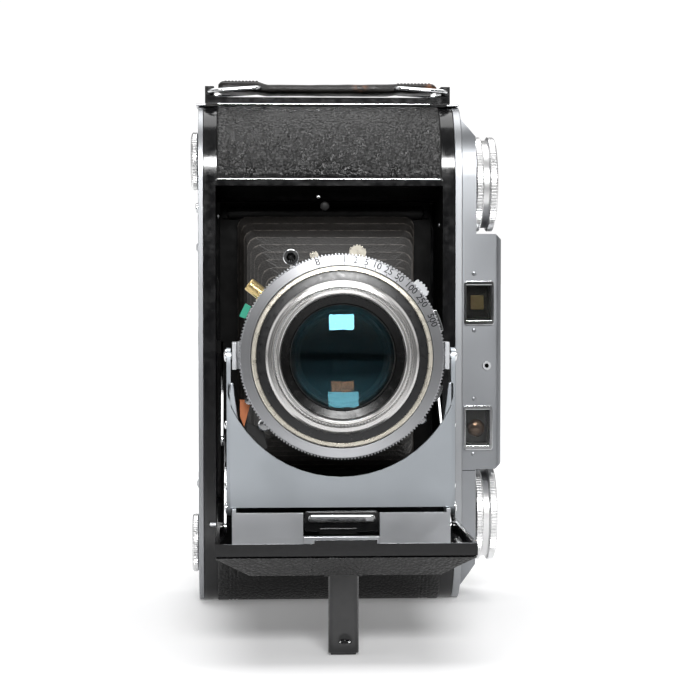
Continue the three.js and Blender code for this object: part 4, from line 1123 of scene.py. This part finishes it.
# ---------- back ----------
def back():
    dress_all(
        (ENAMEL, 0.4, "back_door_shell"),
        (LEATHER, 0.2, "back_leather"),
        (RED, 0.0, "red_window"),
        (SATIN, 0.2, "window_cover"),
        (SATIN_PLATE, 0.25, "back_latch"),
        (MATT, 0.2, "pressure_plate"),
    )
    low, high = limits("back_leather")
    border = rounded_outline(low.x + 3.2, high.x - 3.2, low.z + 3.2, high.z - 3.2, 2.5, 6)
    points = [(a, high.y - 0.02, b) for a, b in border]
    tube("back_border_line", points, 0.16, LEATHER, "back_door", True)
    for name, z in (("upper", 66.7), ("lower", 53.3)):
        block("cover_rail_" + name, (-17.2, 16.2, 19.5, 20.5, z - 0.75, z + 0.75), SATIN, "back_door", 0.15)


# ---------- front door, foot, carriage and bracket ----------
def front_door():
    dress_all((ENAMEL, 0.3, "door_pan"), (DOOR_LEATHER, 0.25, "door_leather"), (SATIN_PLATE, 0.3, "carriage"))
    bm = bmesh.new()
    for sign in (-1, 1):
        x0, x1 = sorted((sign * 23.2, sign * 25.0))
        box(bm, x0, x1, -104, -34, 26.45, 27.4)
    piece("door_rails", bm, SATIN, "front_door", bevel=0.2)
    for name, x in (("left", -33.6), ("right", 33.6)):
        stud("door_rivet_" + name, (x, -60, 28.6), 1.2, 0.5, SATIN, "front_door", "z", 1)
    low = limits("carriage")[0]
    sill = (-11.3, 11.3, low.y, low.y + 1.2, 30.6, 32.9)
    block("carriage_sill", sill, SATIN_PLATE, "carriage", 0.3)
    flaps()
    foot()
    collapse_bar()


def flaps():
    """Two small leather-covered ears beside the foot's hinge."""
    for name, side in (("left", -1), ("right", 1)):
        outline = [(side * 5.7, 24.9), (side * 9.4, 24.9), (side * 8.4, 23.5), (side * 5.7, 23.5)]
        plate("foot_flap_" + name, outline, -114.5, -108.6, DOOR_LEATHER, "front_door", bevel=0.25)


def foot():
    """A pressed steel leg with turned-back edges and a round dimple near its tip."""
    half = 3.7
    hinge_y, hinge_z = -111.5, 24.0
    front = limits("foot")[0].y
    dimple = Vector((0.4, 4.1))

    def at(x, z):
        away = (Vector((x, z)) - dimple).length
        dent = 0.75 * max(0.0, 1 - (away / 2.0) ** 2) if z > dimple.y - 0.4 else 0.0
        roll = 0.35 * max(0.0, (abs(x) - half + 0.45) / 0.45) ** 2
        sweep = 0.5 * max(0.0, (2.6 - z) / 1.7) ** 2
        return (x, front + 0.2 + dent + roll + sweep * 0.5, z)

    columns = steps(-half, half, 0.3)
    rows = steps(0.9, hinge_z + 0.3, 0.35)
    sheet_grid("foot_blade", columns, rows, at, ENAMEL, "foot", ["foot"], 0.9, 1, 50)
    edges = bmesh.new()
    for sign in (-1, 1):
        x0, x1 = sorted((sign * (half - 0.8), sign * half))
        box(edges, x0, x1, hinge_y - 0.4, hinge_y + 1.1, 4, hinge_z + 0.6)
    box(edges, -half, half, front + 0.5, hinge_y + 1.3, 0, 0.95)
    piece("foot_edges", edges, ENAMEL, "foot", bevel=0.25)
    pin = [(0, -5.2), (0.6, -5.2), (0.6, 5.2), (0, 5.2)]
    turned("foot_pin", pin, (0, hinge_y, hinge_z), SATIN, "foot", "x", 20)


def collapse_bar():
    """The black release block with its bright bar."""
    low, high = limits("collapse_bar")
    width = high.x
    outline = rounded_outline(-width, width, low.z, high.z, 0.9, 4)
    plate("release_block", outline, low.y + 0.9, high.y, ENAMEL, "collapse_bar", replaces=["collapse_bar"],
          slot="chrome_metal", bevel=0.35, segments=3)
    mid = high.z - 2.1
    rail = rounded_outline(-width + 1.0, width - 1.0, mid - 1.15, mid + 1.15, 1.1, 6)
    plate("release_bar", rail, low.y, low.y + 1.2, CHROME, "collapse_bar", bevel=0.45, segments=3)
    lip = (-width + 4.2, width - 6.4, low.y + 0.5, low.y + 1.4, low.z - 0.7, low.z + 1.1)
    block("release_lip", lip, ENAMEL, "collapse_bar", 0.2)


def bracket():
    """The U bracket with the front faces of its arms, its rivets, and the four brace links."""
    dress("u_bracket", SATIN_BRACKET, 0.35)
    sides = (("left", -1), ("right", 1))
    arm = [(33.4, -7.8), (31.5, -7.8), (31.0, -12.5), (30.1, -18.6), (31.9, -15.4), (33.4, -11.6)]
    front = LENS.y - 2.2
    for name, side in sides:
        outline = [(side * x, LENS.z + z) for x, z in arm]
        plate("bracket_arm_" + name, outline, front, front + 1.2, SATIN_BRACKET, "u_bracket", bevel=0.25)
    rivets = (
        ("pivot_", 0.0, LENS.z + 0.2, 1.9),
        ("lower_", 3.0, 65.2, 1.2),
        ("foot_", 3.0, 47.2, 1.2),
        ("base_", 0.0, 41.0, 1.7),
    )
    for name, side in sides:
        for label, y, z, radius in rivets:
            where = (side * 33.5, LENS.y + y, z)
            head = "bracket_rivet_" + label + name
            stud(head, where, radius, 0.75, CHROME, "u_bracket", "x", side, 0.25, 24)
    for name in ("upper_left", "upper_right", "lower_left", "lower_right"):
        dress("brace_" + name, CHROME, 0.15)


# ---------- stage ----------
ROOM_FRONT = 0.05
ROOM_SIDE = 0.26


def stage():
    bm = bmesh.new()
    size = 12.0
    floor_mesh = bpy.data.meshes.new("floor")
    corners = [bm.verts.new((sx * size, sy * size, 0)) for sx, sy in ((-1, -1), (1, -1), (1, 1), (-1, 1))]
    bm.faces.new(corners)
    bm.to_mesh(floor_mesh)
    bm.free()
    floor = bpy.data.objects.new("floor", floor_mesh)
    floor.location.z = -0.00005
    bpy.context.scene.collection.objects.link(floor)
    look = Look("floor_white", (0.9, 0.9, 0.905), 0.7, Emission_Color=(1, 1, 1, 1), Specular_IOR_Level=0.2)
    look.bump(look.noise(90, 3), 0.05, 0.2)
    # The floor is painted dark from near the camera backwards, painted shade that keeps reflections in the
    # glossy parts dark; ahead of that it glows more with distance, painted light that keeps it white.
    far = look.tree.nodes.new("ShaderNodeSeparateXYZ")
    look.link(look.place(), far.inputs[0])
    look.tint(look.ramp(far.outputs["Y"], -0.42, -0.19), (0.12, 0.12, 0.122), (0.9, 0.9, 0.905))
    near_glow = look.ramp(far.outputs["Y"], -0.2, 0.3, 0.0, 0.42)
    far_glow = look.ramp(far.outputs["Y"], 0.3, 2.4, 0.0, 0.6)
    look.link(look.math("ADD", near_glow, far_glow), look.shader.inputs["Emission Strength"])
    floor_mesh.materials.append(look.material)


def area_light(name, where, aim, size, power, color=(1, 1, 1)):
    data = bpy.data.lights.new(name, "AREA")
    data.shape = "RECTANGLE"
    data.size, data.size_y = size
    data.energy = power
    data.color = color
    lamp = bpy.data.objects.new(name, data)
    lamp.location = where
    lamp.rotation_euler = (Vector(aim) - Vector(where)).to_track_quat("-Z", "Y").to_euler()
    bpy.context.scene.collection.objects.link(lamp)


def lighting():
    """Soft boxes in a white room that is dim behind the camera, so that glossy black stays black."""
    world = bpy.data.worlds.new("studio")
    world.use_nodes = True
    bpy.context.scene.world = world
    tree = world.node_tree
    room = tree.nodes["Background"]
    room.inputs["Color"].default_value = (1, 1, 1, 1)
    direction = tree.nodes.new("ShaderNodeTexCoord")
    split = tree.nodes.new("ShaderNodeSeparateXYZ")
    tree.links.new(direction.outputs["Generated"], split.inputs[0])
    dim = tree.nodes.new("ShaderNodeMapRange")
    dim.interpolation_type = "SMOOTHSTEP"
    ends = (("From Min", -0.97), ("From Max", -0.45), ("To Min", ROOM_FRONT), ("To Max", ROOM_SIDE))
    for label, number in ends:
        dim.inputs[label].default_value = number
    tree.links.new(split.outputs["Y"], dim.inputs["Value"])
    tree.links.new(dim.outputs["Result"], room.inputs["Strength"])
    backdrop = tree.nodes.new("ShaderNodeBackground")
    backdrop.inputs["Color"].default_value = (1, 1, 1, 1)
    backdrop.inputs["Strength"].default_value = 1.05
    rays = tree.nodes.new("ShaderNodeLightPath")
    choose = tree.nodes.new("ShaderNodeMixShader")
    tree.links.new(rays.outputs["Is Camera Ray"], choose.inputs["Fac"])
    tree.links.new(room.outputs["Background"], choose.inputs[1])
    tree.links.new(backdrop.outputs["Background"], choose.inputs[2])
    tree.links.new(choose.outputs["Shader"], tree.nodes["World Output"].inputs["Surface"])
    lens = LENS * MM
    area_light("key_softbox", (0.035, -1.02, 0.50), lens, (0.33, 0.20), 9.0)
    area_light("left_softbox", (-1.15, -0.45, 0.7), (0, 0, 0.08), (1.0, 1.2), 3)
    area_light("right_softbox", (1.15, -0.35, 0.75), (0, 0, 0.08), (1.0, 1.2), 3)
    area_light("top_softbox", (0.0, 0.1, 1.3), (0, 0, 0.1), (1.2, 1.0), 11)


CAMERA_AT = (-0.031, -0.740, 0.112)
CAMERA_DOWN = 2.2
CAMERA_TURN = 3.0  # degrees towards +X


def camera():
    data = bpy.data.cameras.new("camera")
    data.lens = 112.9
    data.sensor_width = 36
    data.clip_end = 100
    eye = bpy.data.objects.new("camera", data)
    eye.location = CAMERA_AT
    eye.rotation_euler = Euler((math.radians(90 - CAMERA_DOWN), 0, math.radians(-CAMERA_TURN)))
    bpy.context.scene.collection.objects.link(eye)
    bpy.context.scene.camera = eye


bpy.context.scene.view_settings.view_transform = "Standard"
camera()
lighting()
stage()
cavity_faces()
opening_trim()
leather_panel("leather_upper", "front_leather_upper", True)
leather_panel("leather_lower", "front_leather_lower", False)
end_fittings()
strap_loops()
strap()
housing()
side_fittings()
inside_parts()
back()
front_door()
bracket()
bellows()
speed_ring()
speed_marks()
barrel_rings()
lens_glass()
rear_lens()
lens_controls()
